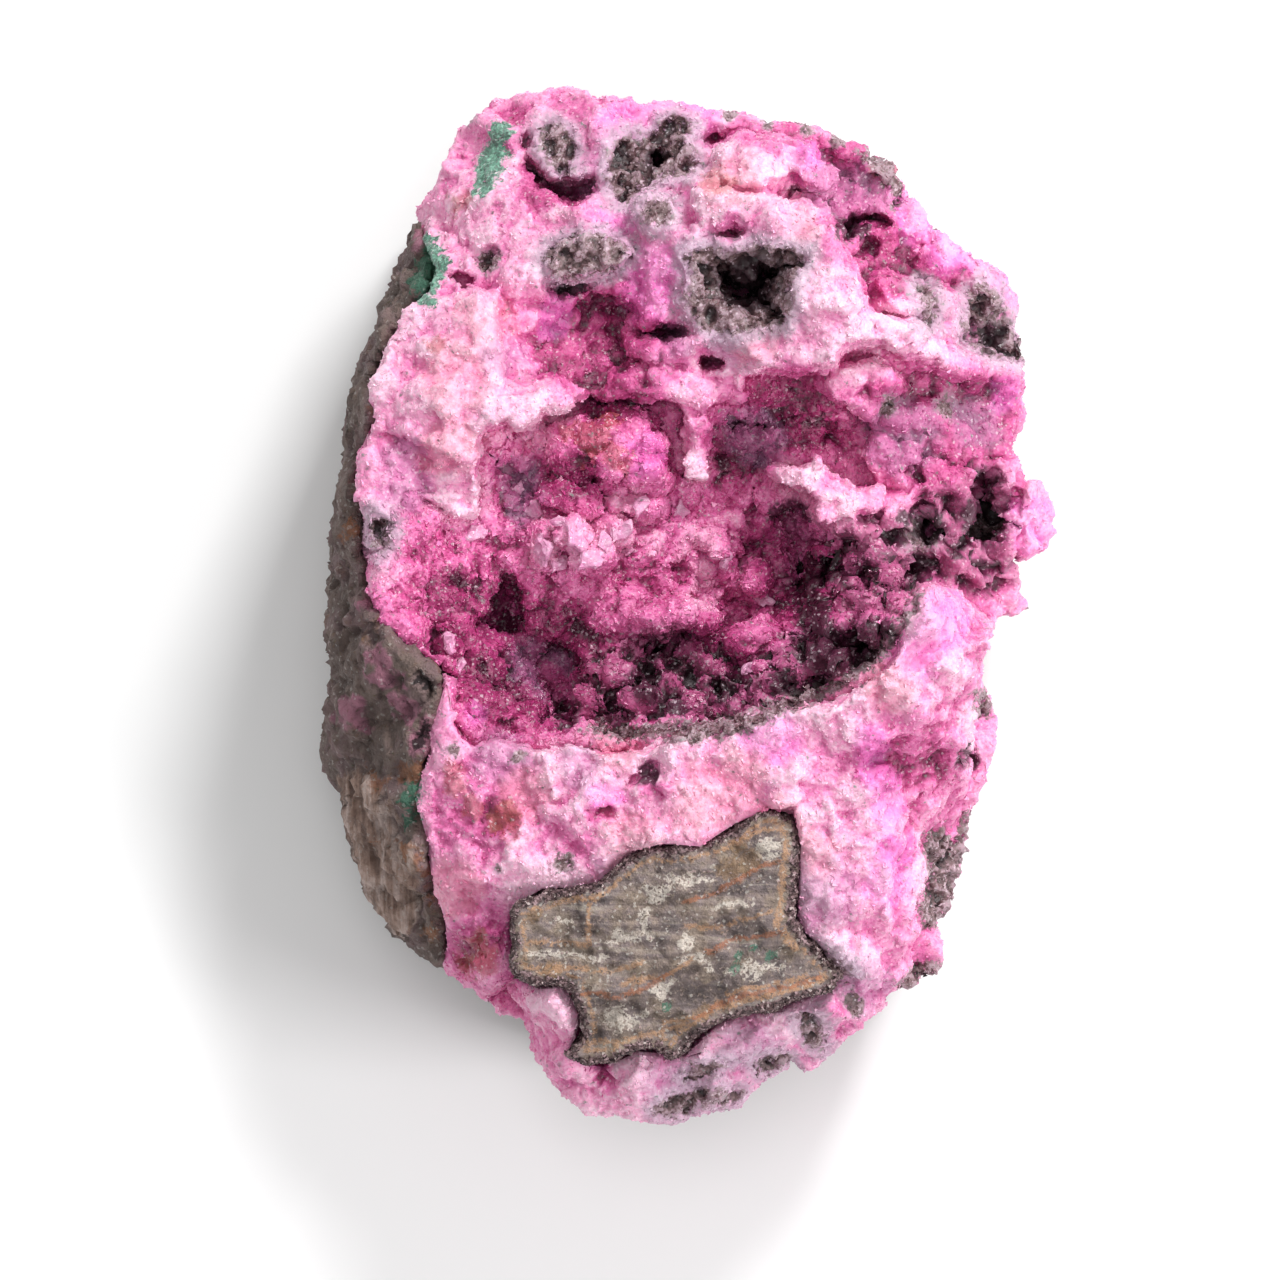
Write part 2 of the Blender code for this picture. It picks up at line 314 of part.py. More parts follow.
      (11.8, 11.7), (8.6, 12.9)],
     [(8.2, 14.0, 32.5), (12.0, 13.5, 34.5), (15.0, 11.6, 33.5), (18.0, 9.0, 31.5), (19.2, 4.6, 29)]),
    ("honeycomb", 0.8,
     [(20.4, 12.0), (22.6, 12.0), (23.0, 13.4), (24.6, 15.0), (26.5, 15.0), (28.5, 14.0), (29.8, 15.0),
      (31.5, 15.2), (34.2, 16.4), (35.2, 14.6), (35.0, 12.9), (34.4, 10.0), (34.4, 8.0), (34.4, 5.4),
      (34.4, 3.0), (36.4, 0.0), (34.8, -1.6), (31.9, -3.0), (30.6, -2.0), (28.0, 0.0), (25.2, 1.5),
      (24.4, 1.2), (22.2, -0.8), (20.2, 0.6), (20.6, 2.6), (20.2, 5.0), (20.0, 7.0), (19.4, 8.6),
      (20.2, 10.0)],
     [(21.0, 10.0, 29.5), (24.0, 12.0, 29), (26.0, 13.6, 29), (27.0, 10.6, 28.5), (24.0, 5.4, 25),
      (21.6, 6.0, 27), (28.0, 6.0, 26.5), (28.4, 9.4, 27), (30.0, 3.0, 24), (32.4, 2.6, 22.5),
      (32.4, -0.6, 21), (33.9, 9.0, 24.5), (22.6, 1.6, 25), (31.8, 14.6, 25), (34.8, -0.3, 18.5),
      (26.4, 2.8, 26)]),
    ("honeycomb slot", 0.6,
     [(22.9, 7.4), (23.6, 8.2), (25.2, 9.4), (26.4, 9.0), (27.8, 8.4), (27.6, 7.0), (26.0, 6.6),
      (24.0, 6.6)],
     [(25.2, 7.8, 18)]),
    ("tall hollow", 0.6,
     [(28.5, 8.2), (29.2, 10.2), (29.7, 11.6), (29.6, 13.4), (30.4, 14.4), (32.0, 14.0), (32.8, 11.6),
      (33.3, 9.0), (33.2, 7.4), (32.4, 6.4), (30.8, 6.0), (30.0, 6.8)],
     [(31.0, 9.0, 12.8), (31.2, 13.4, 18)]),
    ("chip", 0.6,
     [(34.6, 12.4), (35.2, 13.4), (37.6, 13.4), (38.6, 10.8), (39.0, 7.6), (37.2, 5.4), (35.5, 4.2),
      (34.4, 5.6), (34.6, 7.4), (34.4, 9.0)],
     [(35.2, 11.0, 26), (36.4, 7.0, 24.5), (37.8, 10.6, 22), (38.3, 7.8, 21)]),
    ("right side", 0.8,
     [(29.8, -8.7), (31.6, -8.4), (33.2, -12.0), (32.4, -17.4), (30.4, -22.0), (29.4, -27.4),
      (26.0, -34.9),
      (24.6, -34.6), (23.7, -33.0), (24.6, -30.0), (24.8, -27.0), (25.0, -25.0), (26.2, -22.0),
      (27.5, -20.0),
      (28.6, -17.6), (29.0, -14.0), (29.4, -10.4)],
     [(30.6, -9.9, 28), (30.8, -14.0, 28.5), (29.4, -19.5, 27.5), (27.4, -24.0, 29),
      (26.0, -29.0, 28.5),
      (25.4, -33.4, 27), (32.2, -12.4, 25), (29.3, -24.0, 23.5), (28.0, -29.0, 23)]),
    ("magenta concave", 1.2,
     [(28.2, -11.0), (24.4, -11.6), (20.0, -14.2), (16.2, -16.2), (18.6, -17.8), (20.8, -17.6),
      (21.0, -20.0),
      (21.2, -24.0), (21.8, -25.8), (23.6, -26.0), (24.6, -24.0), (26.2, -21.6), (27.4, -19.8),
      (28.5, -17.0),
      (28.8, -14.0)],
     [(24.0, -13.4, 44.5), (19.0, -16.2, 42.5), (24.0, -18.0, 39.5), (22.6, -24.0, 36.5),
      (27.6, -14.0, 42),
      (26.6, -19.0, 37)]),
    ("right strip", 0.8,
     [(21.0, -19.0), (21.2, -24.0), (21.8, -25.8), (23.6, -26.0), (24.6, -24.0), (26.0, -22.4),
      (25.0, -25.0),
      (24.6, -30.0), (23.7, -33.0), (24.4, -34.6), (23.0, -36.6), (22.6, -38.6), (21.4, -39.8),
      (19.6, -41.4),
      (20.0, -36.0), (20.2, -30.0), (20.6, -25.0)],
     [(21.6, -28.0, 38), (23.6, -28.0, 35.5), (21.4, -34.0, 36), (21.0, -39.4, 32)]),
    ("low right lip", 0.5,
     [(22.4, -38.8), (23.2, -36.6), (24.4, -34.6), (26.2, -34.6), (27.2, -38.4), (25.2, -40.2),
      (22.6, -41.0),
      (20.6, -41.2), (21.6, -39.8)],
     [(24.6, -36.6, 28), (25.6, -38.4, 25.5), (22.6, -39.8, 27)]),
    ("low left notch", 0.8,
     [(-20.6, -40.0), (-18.6, -39.4), (-17.6, -41.4), (-16.8, -42.6), (-16.6, -44.8), (-17.0, -46.4),
      (-20.0, -45.0), (-23.2, -42.6), (-21.8, -41.4)],
     [(-19.4, -42.4, 22)]),
]
# Heights of the front outside the crisp forms (x, y, height)
FRONT_MARKS = [
    (-28.5, 41.0, 23), (-24.5, 49.0, 23), (-20.0, 53.0, 25), (-13.8, 55.0, 27), (-5.0, 52.6, 28),
    (3.0, 52.0, 27), (12.0, 50.2, 27), (20.0, 46.6, 26), (22.8, 43.8, 24), (-25.0, 45.6, 27),
    (-20.0, 49.4, 30), (-17.0, 52.0, 29.5), (-10.0, 50.4, 32), (-4.0, 51.8, 30), (-22.0, 43.0, 33),
    (-18.0, 41.0, 36), (-26.0, 38.0, 30), (-22.0, 37.0, 35), (-18.0, 35.6, 37.5), (-11.0, 40.6, 37.5),
    (-7.4, 44.5, 34), (-2.0, 37.0, 39), (-2.6, 33.0, 37), (-8.0, 33.6, 34), (-26.0, 34.4, 34),
    (-12.0, 52.6, 29.5), (1.0, 43.0, 39), (1.4, 47.6, 31), (8.0, 30.0, 41), (14.0, 35.0, 45),
    (5.0, 40.0, 41), (8.0, 46.0, 40), (-25.0, 25.0, 39), (-30.0, 22.0, 37), (-20.0, 20.0, 40.5),
    (-15.0, 28.0, 34), (-36.0, 0.0, 28), (-33.0, -15.0, 34), (-32.0, -28.0, 27), (-31.0, 14.0, 36),
    (16.0, 45.0, 25), (20.0, 43.6, 25), (20.0, 37.0, 26), (26.0, 36.4, 25), (31.6, 33.6, 23),
    (33.6, 29.6, 21), (29.6, 27.0, 26), (26.0, 27.6, 34), (18.0, 24.4, 34), (22.0, 20.4, 28.5),
    (28.0, 20.0, 25), (33.4, 20.0, 22.5), (23.4, 12.6, 27.5), (29.4, 10.0, 25), (34.4, 10.0, 23.5),
    (34.6, 14.4, 22), (30.0, 4.0, 24), (34.2, 3.0, 20), (35.4, -0.4, 18), (31.6, -1.4, 21),
    (22.0, 4.0, 25), (27.6, 2.0, 25), (37.4, 9.0, 22), (34.6, 5.6, 20), (30.6, 15.4, 24),
    (31.2, -9.8, 27.5), (31.2, -14.4, 27.5), (29.4, -22.0, 26), (27.4, -29.0, 26), (25.6, -36.0, 26.5),
    (18.8, 15.0, 27), (21.0, 8.0, 27),
    (-25.0, -14.6, 38), (-20.0, -15.4, 38.5), (-14.0, -15.6, 40), (-8.0, -16.6, 41.5), (0.0, -14.4, 44),
    (8.0, -12.4, 46), (15.0, -10.8, 48.5), (20.0, -7.5, 51), (23.4, -2.0, 53.4), (25.0, 0.8, 54),
    (28.0, -1.6, 51), (30.6, -3.8, 48), (27.0, -6.0, 51), (29.4, -9.4, 45), (24.0, -9.6, 49.5),
    (19.0, -12.6, 47.5), (28.6, -15.0, 42), (0.0, -20.0, 43.5), (-10.0, -21.0, 41),
    (-20.0, -20.0, 37.5),
    (-25.0, -24.0, 35.5), (10.0, -17.0, 45.5), (16.0, -18.0, 45), (18.0, -24.0, 42.5),
    (14.0, -30.0, 41.5),
    (14.0, -36.0, 39), (19.0, -30.0, 40), (18.6, -38.0, 36), (-22.0, -28.0, 36.5), (-17.0, -27.0, 38.5),
    (-24.0, -33.0, 32.5), (-21.0, -38.0, 31), (-25.4, -36.6, 26), (-24.0, -39.6, 23),
    (-14.0, -42.6, 36),
    (-13.4, -48.0, 33.5), (-6.0, -50.0, 32.5), (2.0, -47.4, 34), (8.0, -45.4, 35), (14.0, -43.0, 35.5),
    (0.0, -52.4, 29), (-9.0, -52.5, 29), (17.4, -42.4, 33), (-16.6, -46.4, 25), (-14.0, -51.0, 26),
    (-1.6, -54.8, 25), (5.0, -52.8, 26), (12.5, -49.0, 27), (15.6, -46.2, 28.5), (19.4, -42.4, 29),
    (-9.8, -54.0, 26), (8.8, -49.4, 27), (12.0, -22.0, 44), (-2.0, -24.0, 42.5)]
# Heights of the banded fragment's face
CLAST_MARKS = [
    (-16.0, -33.0, 38.6), (-8.0, -31.0, 40.2), (0.0, -27.5, 41.6), (8.0, -24.0, 42.6),
    (9.0, -31.0, 41.4),
    (0.0, -35.0, 40), (-16.0, -38.4, 37), (-8.0, -39.0, 38.2), (12.0, -39.4, 37.8), (2.0, -41.6, 37.6),
    (-9.0, -44.0, 36.2), (-11.6, -47.2, 34.4), (-2.2, -46.8, 34.8)]
# Rock left behind the druse, a smooth bowl
BOWL_MARKS = [
    (-33.0, 2.0, 31.5), (-28.0, 5.0, 28.5), (-30.0, -3.0, 29), (-24.0, 8.0, 25), (-20.0, 14.0, 23.5),
    (-24.0, -10.0, 25), (-20.0, -1.0, 17), (-24.0, -4.0, 21), (-15.0, -9.0, 13.5), (-15.0, -13.5, 13.2),
    (-20.0, -13.0, 22), (-12.0, 1.0, 21), (-8.0, 8.0, 22), (-9.0, 16.0, 24), (-12.0, 20.6, 22),
    (-3.0, 12.0, 22), (-3.0, 19.0, 24), (2.0, 8.0, 19), (4.0, 18.6, 14.6), (9.0, 20.0, 18),
    (12.0, 23.0, 21),
    (16.0, 18.0, 18), (8.0, 3.0, 14), (11.0, 8.0, 13), (12.0, 2.0, 11.8), (15.0, 1.0, 12),
    (18.0, 3.0, 14),
    (5.0, -2.0, 15), (-4.0, -4.0, 12.2), (-8.0, -7.0, 18), (-9.0, -13.0, 18), (-1.0, -11.0, 13.6),
    (3.0, -8.0, 16), (8.0, -8.0, 14), (12.0, -5.0, 12), (16.0, -4.0, 14), (20.0, -3.0, 18),
    (18.0, -7.0, 18), (12.0, -9.0, 12.6), (17.0, 14.0, 19), (5.0, 10.0, 18)]
# Surface of the druse between its crisp forms
DRUSE_MARKS = [
    (-33.0, 3.0, 36.5), (-31.4, 7.0, 35.8), (-30.0, 9.6, 35), (-28.0, 5.0, 33.5), (-28.0, 0.0, 32),
    (-30.4, -2.6, 35.5), (-25.0, 6.0, 31), (-22.0, 8.0, 30), (-22.0, 2.4, 27.5), (-26.4, -6.0, 32),
    (-24.0, -7.4, 29), (-24.6, -12.8, 34.5), (-20.0, -9.0, 26.5), (-17.0, -14.4, 31),
    (-18.0, -6.0, 22.5),
    (-13.0, -2.4, 24.5), (-15.0, 1.0, 28), (-12.0, 3.0, 28.5), (-5.0, 7.0, 28.5), (-3.0, 8.0, 27.5),
    (0.0, 10.0, 26.5), (-6.0, 3.0, 26.5), (-1.0, 1.4, 27), (0.0, 6.0, 26.5), (4.0, 10.0, 24.5),
    (5.0, 14.0, 24.5), (8.0, 20.4, 25), (11.0, 18.0, 26), (13.0, 22.0, 28.5), (8.0, 23.0, 29.5),
    (16.0, 17.5, 24.5), (4.0, 22.0, 30), (6.6, 6.0, 21.5), (7.0, 0.6, 20.5), (4.0, -0.6, 20),
    (-6.6, -1.0, 28.5), (3.0, -8.8, 27), (-3.0, 20.4, 29), (-17.0, 9.0, 29), (-13.0, -13.6, 33),
    (-3.0, -13.8, 36), (3.0, -11.4, 34), (12.0, -10.2, 36), (18.0, -7.8, 40), (21.6, -3.0, 42)]
# Crisp forms of the druse
DRUSE_FORMS = [
    ("mauve corner", 0.7,
     [(-22.2, 14.8), (-21.6, 16.8), (-19.5, 18.2), (-18.3, 17.5), (-16.8, 18.0), (-15.6, 17.0),
      (-15.2, 13.0),
      (-15.8, 11.6), (-18.6, 9.8), (-20.6, 12.6), (-22.0, 13.4)],
     [(-19.0, 15.4, 29.5), (-18.0, 12.4, 28), (-16.6, 17.0, 28.5), (-20.8, 14.2, 28)]),
    ("ledge shadow", 0.6,
     [(-21.0, 17.4), (-19.6, 18.6), (-18.4, 17.9), (-16.6, 18.6), (-15.4, 19.9), (-13.6, 20.1),
      (-12.4, 21.2), (-7.5, 21.8), (-5.0, 21.0), (-9.4, 20.6), (-13.0, 19.3), (-15.0, 17.9),
      (-17.4, 17.0)],
     [(-14.0, 19.4, 25.5)]),
    ("stained lump", 1.6,
     [(-15.0, 17.6), (-13.0, 19.1), (-9.0, 20.4), (-6.0, 20.2), (-4.4, 19.0), (-3.0, 17.4),
      (-2.4, 13.4),
      (-3.4, 12.0), (-8.0, 11.6), (-10.0, 12.6), (-14.6, 13.6), (-15.2, 15.6)],
     [(-9.0, 16.4, 34.5), (-5.0, 15.0, 33.5), (-13.0, 16.4, 31.8), (-9.0, 12.6, 31.5)]),
    ("bright lump left", 1.0,
     [(-15.4, 12.0), (-14.4, 13.2), (-12.4, 12.8), (-10.6, 11.8), (-9.8, 10.2), (-10.4, 9.2),
      (-14.4, 9.8),
      (-15.8, 10.6)],
     [(-12.6, 11.2, 31.8)]),
    ("bright lump right", 1.0,
     [(-9.0, 10.6), (-7.6, 11.6), (-3.4, 11.4), (-2.8, 10.0), (-4.4, 9.0), (-8.4, 9.4)],
     [(-6.0, 10.4, 30.8)]),
    ("plate crystal 1", 0.5,
     [(-17.2, 8.3), (-15.8, 8.4), (-14.8, 7.0), (-13.9, 5.9), (-14.2, 4.6), (-15.6, 3.9), (-16.8, 4.6)],
     [(-16.4, 7.6, 33), (-15.0, 5.0, 31)]),
    ("plate crystal 2", 0.5,
     [(-14.6, 8.0), (-13.0, 8.8), (-11.6, 8.4), (-10.0, 6.9), (-10.4, 6.0), (-12.6, 5.2), (-14.6, 6.6)],
     [(-13.6, 7.8, 34), (-11.4, 6.6, 32.5)]),
    ("plate crystal 3", 0.5,
     [(-12.6, 5.0), (-11.4, 6.0), (-10.0, 6.6), (-8.8, 6.2), (-8.8, 4.6), (-10.2, 3.2), (-11.6, 4.0)],
     [(-10.2, 5.6, 34), (-10.4, 4.0, 32)]),
    ("plate crystal 4", 0.5,
     [(-10.0, 7.0), (-9.8, 8.8), (-8.4, 9.0), (-7.2, 8.4), (-6.2, 6.8), (-6.8, 5.6), (-8.0, 6.4)],
     [(-9.2, 8.4, 32.5), (-7.0, 6.6, 31)]),
    ("centre knob", 0.7,
     [(1.0, 7.0), (2.2, 7.6), (3.2, 6.8), (3.5, 5.6), (2.6, 5.2), (1.2, 5.8)], [(2.2, 6.4, 29.5)]),
    ("low knob", 0.7,
     [(5.5, 2.4), (6.6, 4.0), (8.0, 3.6), (8.2, 2.4), (7.0, 1.3), (5.8, 1.4)], [(6.8, 2.6, 26)]),
    ("left recess", 0.8,
     [(-24.6, -2.0), (-22.2, 1.6), (-20.6, 2.0), (-18.6, 1.4), (-17.2, 0.0), (-17.0, -2.0),
      (-18.4, -3.8),
      (-21.4, -4.0), (-23.4, -3.4)],
     [(-20.6, -1.0, 20.5)]),
    ("rod groove", 0.5,
     [(-28.6, -1.2), (-27.0, -0.8), (-24.6, -2.6), (-23.8, -5.0), (-24.6, -7.2), (-26.4, -6.0),
      (-28.2, -4.4)],
     [(-26.4, -3.8, 27.5)]),
    ("rod crystal", 0.5,
     [(-27.4, -2.0), (-26.8, -1.4), (-25.8, -2.6), (-24.4, -4.4), (-24.6, -5.6), (-25.6, -6.0),
      (-26.6, -4.6)],
     [(-27.0, -2.4, 32.5), (-25.0, -5.2, 31.5)]),
    ("deep recess", 0.9,
     [(-17.0, -4.0), (-14.0, -2.8), (-11.6, -4.4), (-9.8, -7.8), (-11.2, -9.4), (-13.4, -12.6),
      (-15.0, -13.8),
      (-17.0, -13.2), (-16.6, -11.0), (-17.6, -8.6), (-18.0, -6.0)],
     [(-14.0, -6.0, 20), (-13.0, -9.0, 18), (-15.0, -12.0, 15.8)]),
    ("bright lumps low", 1.2,
     [(-25.0, -9.0), (-23.4, -8.2), (-21.4, -9.0), (-17.6, -11.0), (-17.2, -13.0), (-18.6, -14.4),
      (-23.4, -13.8), (-24.8, -12.0)],
     [(-22.6, -11.4, 33.5), (-19.2, -12.2, 30)]),
    ("arched rim", 0.6,
     [(-6.2, -1.8), (-5.0, -0.6), (-1.0, 0.0), (1.0, -0.4), (2.2, -1.4), (2.1, -3.0), (1.2, -4.0),
      (1.2, -2.8),
      (0.2, -2.0), (-2.2, -2.0), (-5.2, -3.2), (-6.4, -3.2)],
     [(-5.4, -1.8, 31), (-1.0, -1.0, 32), (1.6, -2.0, 31)]),
    ("arched cell", 0.6,
     [(-5.2, -3.4), (-4.2, -2.6), (-2.2, -2.0), (0.0, -2.0), (1.2, -2.8), (1.3, -4.2), (0.0, -4.6),
      (-3.4, -4.9), (-5.0, -4.8)],
     [(-3.8, -3.9, 14.6), (0.2, -3.4, 21)]),
    ("dark gap", 0.5,
     [(2.2, -1.4), (3.4, -2.8), (3.4, -4.8), (1.6, -4.8), (2.1, -3.0)], [(2.6, -3.8, 19)]),
    ("dark sponge", 0.8,
     [(-9.8, -7.8), (-8.4, -6.0), (-5.2, -5.2), (1.2, -4.6), (0.6, -6.6), (0.2, -9.0), (-4.0, -9.8),
      (-6.0, -10.6), (-6.0, -13.0), (-7.0, -14.6), (-10.6, -14.4), (-12.4, -12.8), (-12.0, -10.6),
      (-11.0, -9.2)],
     [(-7.0, -7.8, 28.5), (-2.6, -7.0, 27), (-9.6, -12.4, 29)]),
    ("sponge pit", 0.6,
     [(-8.2, -9.8), (-6.6, -9.4), (-6.0, -10.6), (-6.4, -12.0), (-7.6, -12.6), (-8.6, -11.6)],
     [(-7.2, -11.0, 20)]),
    ("small pit", 0.4,
     [(-2.0, -10.4), (-1.0, -10.0), (0.0, -10.8), (-0.4, -11.8), (-1.6, -11.6)], [(-1.0, -10.9, 15.6)]),
    ("pale sponge lump", 0.8,
     [(-6.0, -10.8), (-4.0, -9.9), (-2.4, -10.6), (-1.6, -11.9), (-2.8, -13.2), (-4.6, -14.6),
      (-6.0, -13.6)],
     [(-4.0, -12.0, 34)]),
    ("right deep", 0.8,
     [(7.6, 9.8), (9.6, 11.2), (11.8, 11.2), (12.6, 10.4), (12.3, 9.8), (13.2, 8.5), (14.6, 7.6),
      (15.4, 6.2),
      (13.8, 5.4), (13.0, 3.0), (12.6, 1.6), (11.6, 0.4), (10.0, 1.2), (9.2, 6.0), (8.0, 8.0)],
     [(10.6, 9.0, 16.5), (11.5, 5.0, 15.5), (11.6, 1.8, 14)]),
    ("right wall druse", 0.7,
     [(13.6, 5.2), (14.8, 5.2), (16.0, 4.8), (18.6, 4.2), (20.0, 4.6), (20.2, 2.0), (19.8, 0.0),
      (17.4, -0.2),
      (16.6, 1.4), (15.4, 1.8), (14.0, 1.0), (12.8, 0.4), (13.0, 2.6)],
     [(14.0, 3.4, 20.5), (18.4, 2.4, 22)]),
    ("slim hollow", 0.5,
     [(14.0, 0.9), (15.4, 1.6), (16.6, 0.8), (16.2, -0.4), (14.2, -0.4)], [(15.2, 0.5, 14.6)]),
    ("pink ledge", 0.6,
     [(9.0, -1.4), (11.4, -0.8), (14.4, -0.3), (17.0, -0.7), (20.2, 0.4), (22.2, -0.8), (21.8, -1.9),
      (17.0, -1.9), (15.0, -2.1), (12.6, -2.4), (11.2, -3.2), (9.8, -2.6)],
     [(11.0, -1.6, 28), (16.0, -1.2, 29), (21.0, -1.0, 31.5)]),
    ("cell two", 0.7,
     [(10.8, -4.8), (11.4, -3.4), (13.4, -2.6), (17.4, -2.2), (21.6, -2.0), (21.0, -4.4), (19.8, -6.4),
      (17.4, -7.0), (15.8, -6.4), (15.0, -5.0), (13.6, -5.2), (11.2, -5.8)],
     [(12.6, -4.0, 14.8), (16.6, -4.0, 18.5), (20.2, -3.6, 25), (18.6, -6.0, 25)]),
    ("lower cell", 0.5,
     [(9.4, -8.2), (10.6, -7.6), (12.0, -7.2), (13.4, -7.4), (13.2, -8.8), (12.2, -9.6), (10.2, -9.2)],
     [(11.5, -8.4, 14.8)]),
    ("low dark band", 0.4,
     [(3.8, -10.0), (6.0, -9.6), (9.0, -9.4), (9.0, -10.2), (6.0, -10.9),
      (4.0, -10.8)], [(6.4, -10.2, 20)]),
    ("pink pillars", 0.8,
     [(3.6, -4.2), (5.0, -2.8), (7.2, -1.9), (8.4, -2.6), (9.6, -3.4), (10.4, -4.6), (10.0, -6.2),
      (9.4, -8.0),
      (8.0, -9.0), (6.0, -9.0), (3.8, -7.4), (5.4, -5.6), (3.6, -4.8)],
     [(6.6, -3.4, 31), (8.0, -7.0, 31.5), (5.4, -6.6, 27)]),
    ("stem shadow", 0.8,
     [(2.2, 20.4), (2.4, 18.0), (3.6, 17.4), (5.6, 17.6), (8.2, 18.2), (8.6, 19.6), (6.6, 20.6),
      (4.4, 20.7)],
     [(5.0, 19.0, 18)]),
]

# Where the host rock of the left flank begins on the specimen's outline, and where it ends
FLANK_TOP = (-28.6, 41.5)
FLANK_FOOT = (-26.0, -38.1)


def segments(loop):
    """Pair each point of a closed loop with the next one."""
    return zip(loop, loop[1:] + loop[:1])


def inside(loop, x, y):
    """Whether a plan point lies in a closed loop."""
    within = False
    for (ax, ay), (bx, by) in segments(loop):
        if (ay > y) != (by > y) and x < ax + (bx - ax) * (y - ay) / (by - ay):
            within = not within
    return within


def distance(loop, x, y):
    """Distance from a plan point to a loop, positive inside it."""
    nearest = math.inf
    for (ax, ay), (bx, by) in segments(loop):
        run_x, run_y = bx - ax, by - ay
        along = ((x - ax) * run_x + (y - ay) * run_y) / (run_x * run_x + run_y * run_y)
        along = min(1.0, max(0.0, along))
        nearest = min(nearest, math.hypot(x - ax - along * run_x, y - ay - along * run_y))
    return nearest if inside(loop, x, y) else -nearest


def offset(loop, amount):
    """Move each point of a clockwise loop outward, square to its neighbours."""
    moved = []
    for i, (x, y) in enumerate(loop):
        (ax, ay), (bx, by) = loop[i - 1], loop[(i + 1) % len(loop)]
        span = math.hypot(bx - ax, by - ay)
        moved.append((x - amount * (by - ay) / span, y + amount * (bx - ax) / span))
    return moved


def clockwise(loop):
    """Give a loop its points in clockwise order."""
    area = sum(ax * by - bx * ay for (ax, ay), (bx, by) in segments(loop))
    return loop if area < 0 else loop[::-1]


def blend(marks, x, y, softness=0.6):
    """Weigh height marks by their nearness to a plan point."""
    total = 0.0
    weight_sum = 0.0
    for mark_x, mark_y, height in marks:
        weight = ((x - mark_x) ** 2 + (y - mark_y) ** 2 + softness) ** -1.6
        total += weight * height
        weight_sum += weight
    return total / weight_sum


def raise_forms(forms, x, y, height):
    """Lay crisp forms over a height, one after another."""
    for form in forms:
        depth = distance(form.outline, x, y)
        if depth > 0.0:
            share = min(1.0, depth / form.edge)
            height += (blend(form.marks, x, y) - height) * share * share * (3.0 - 2.0 * share)
    return height


def lumps(x, y, size):
    """Rounded crystal lumps of one size, from 0 between them to 1 on top."""
    nearest = noise.voronoi(Vector((x / size, y / size, 0.5)))[0][0]
    return max(0.0, 1.0 - 1.7 * nearest * nearest)


def make_forms(rows):
    """Turn rows of the plan into named forms with clockwise outlines."""
    return [Form(name, edge, clockwise(outline), marks) for name, edge, outline, marks in rows]


FLANK_LOOP = clockwise([FLANK_TOP] + FLANK_LINE + [FLANK_FOOT, (-45.0, -38.0), (-45.0, 41.0)])
FRONT = make_forms(FORMS)
DRUSE = make_forms(DRUSE_FORMS)
HOLLOW_LOOP = clockwise(HOLLOW)
CLAST_LOOP = clockwise(CLAST)
foot = OUTLINE.index(FLANK_FOOT)
CALCITE_LOOP = clockwise(OUTLINE[:foot + 1] + FLANK_LINE[::-1])


def front_height(x, y):
    """Height of the specimen's front, without the hollow and the banded fragment."""
    broken = 0.5 * lumps(x, y, 3.4) + 0.6 * noise.noise(Vector((x * 0.35, y * 0.35, 2.0)))
    return raise_forms(FRONT, x, y, blend(FRONT_MARKS, x, y)) + broken


def bowl_height(x, y):
    """Height of the rock behind the druse."""
    return blend(BOWL_MARKS, x, y, 5.0)


def druse_height(x, y):
    """Height of the druse, lumpy, and never thinner than its least thickness."""
    height = raise_forms(DRUSE, x, y, blend(DRUSE_MARKS, x, y))
    height += 1.1 * lumps(x, y, 3.2) - 0.4
    return max(height, bowl_height(x, y) + CLEAR + CRUST_LEAST)


def clast_height(x, y):
    """Height of the banded fragment: a broken face with low steps along its bands."""
    across = y - 0.17 * x
    return blend(CLAST_MARKS, x, y) + 0.25 * math.sin(across * 1.9) + 0.4 * lumps(x, y, 4.0)


def clast_floor(x, y):
    """Height of the flat bed under the banded fragment, parallel to the broken face."""
    return 39.0 - CLAST_DEPTH + 0.10 * x + 0.30 * (y + 35.0)


def calcite_height(x, y):
    """Height of the massive calcite, with its pockets for the druse and the fragment."""
    if distance(HOLLOW_LOOP, x, y) > -POCKET_REACH:
        return bowl_height(x, y)
    if distance(CLAST_LOOP, x, y) > -POCKET_REACH:
        return clast_floor(x, y) - CLEAR
    return front_height(x, y)


def host_height(x, y):
    """Height of the host rock: the left flank, and the seat under the calcite."""
    if distance(CALCITE_LOOP, x, y) > -POCKET_REACH:
        return seat_height(x, y)
    return max(seat_height(x, y), front_height(x, y))


def scattered_points(outline, fixed, spacing):
    """Plan points inside an outline on an uneven grid that is the same for every mesh."""
    spots = []
    rows = int(0.6 * DRAWN_LENGTH / spacing)
    for row in range(-rows, rows):
        for column in range(-rows, rows):
            shift = noise.cell_vector(Vector((column + 0.5, row + 0.5, 0.5)))
            x = spacing * (column + 0.5 * (row % 2) + 0.5 * (shift.x - 0.5))
            y = spacing * 0.87 * (row + 0.5 * (shift.y - 0.5))
            if distance(outline, x, y) > 0.4 * spacing:
                near = min((x - fixed_x) ** 2 + (y - fixed_y) ** 2 for fixed_x, fixed_y in fixed)
                if near > (0.55 * spacing) ** 2:
                    spots.append(Vector((x, y)))
    return spots


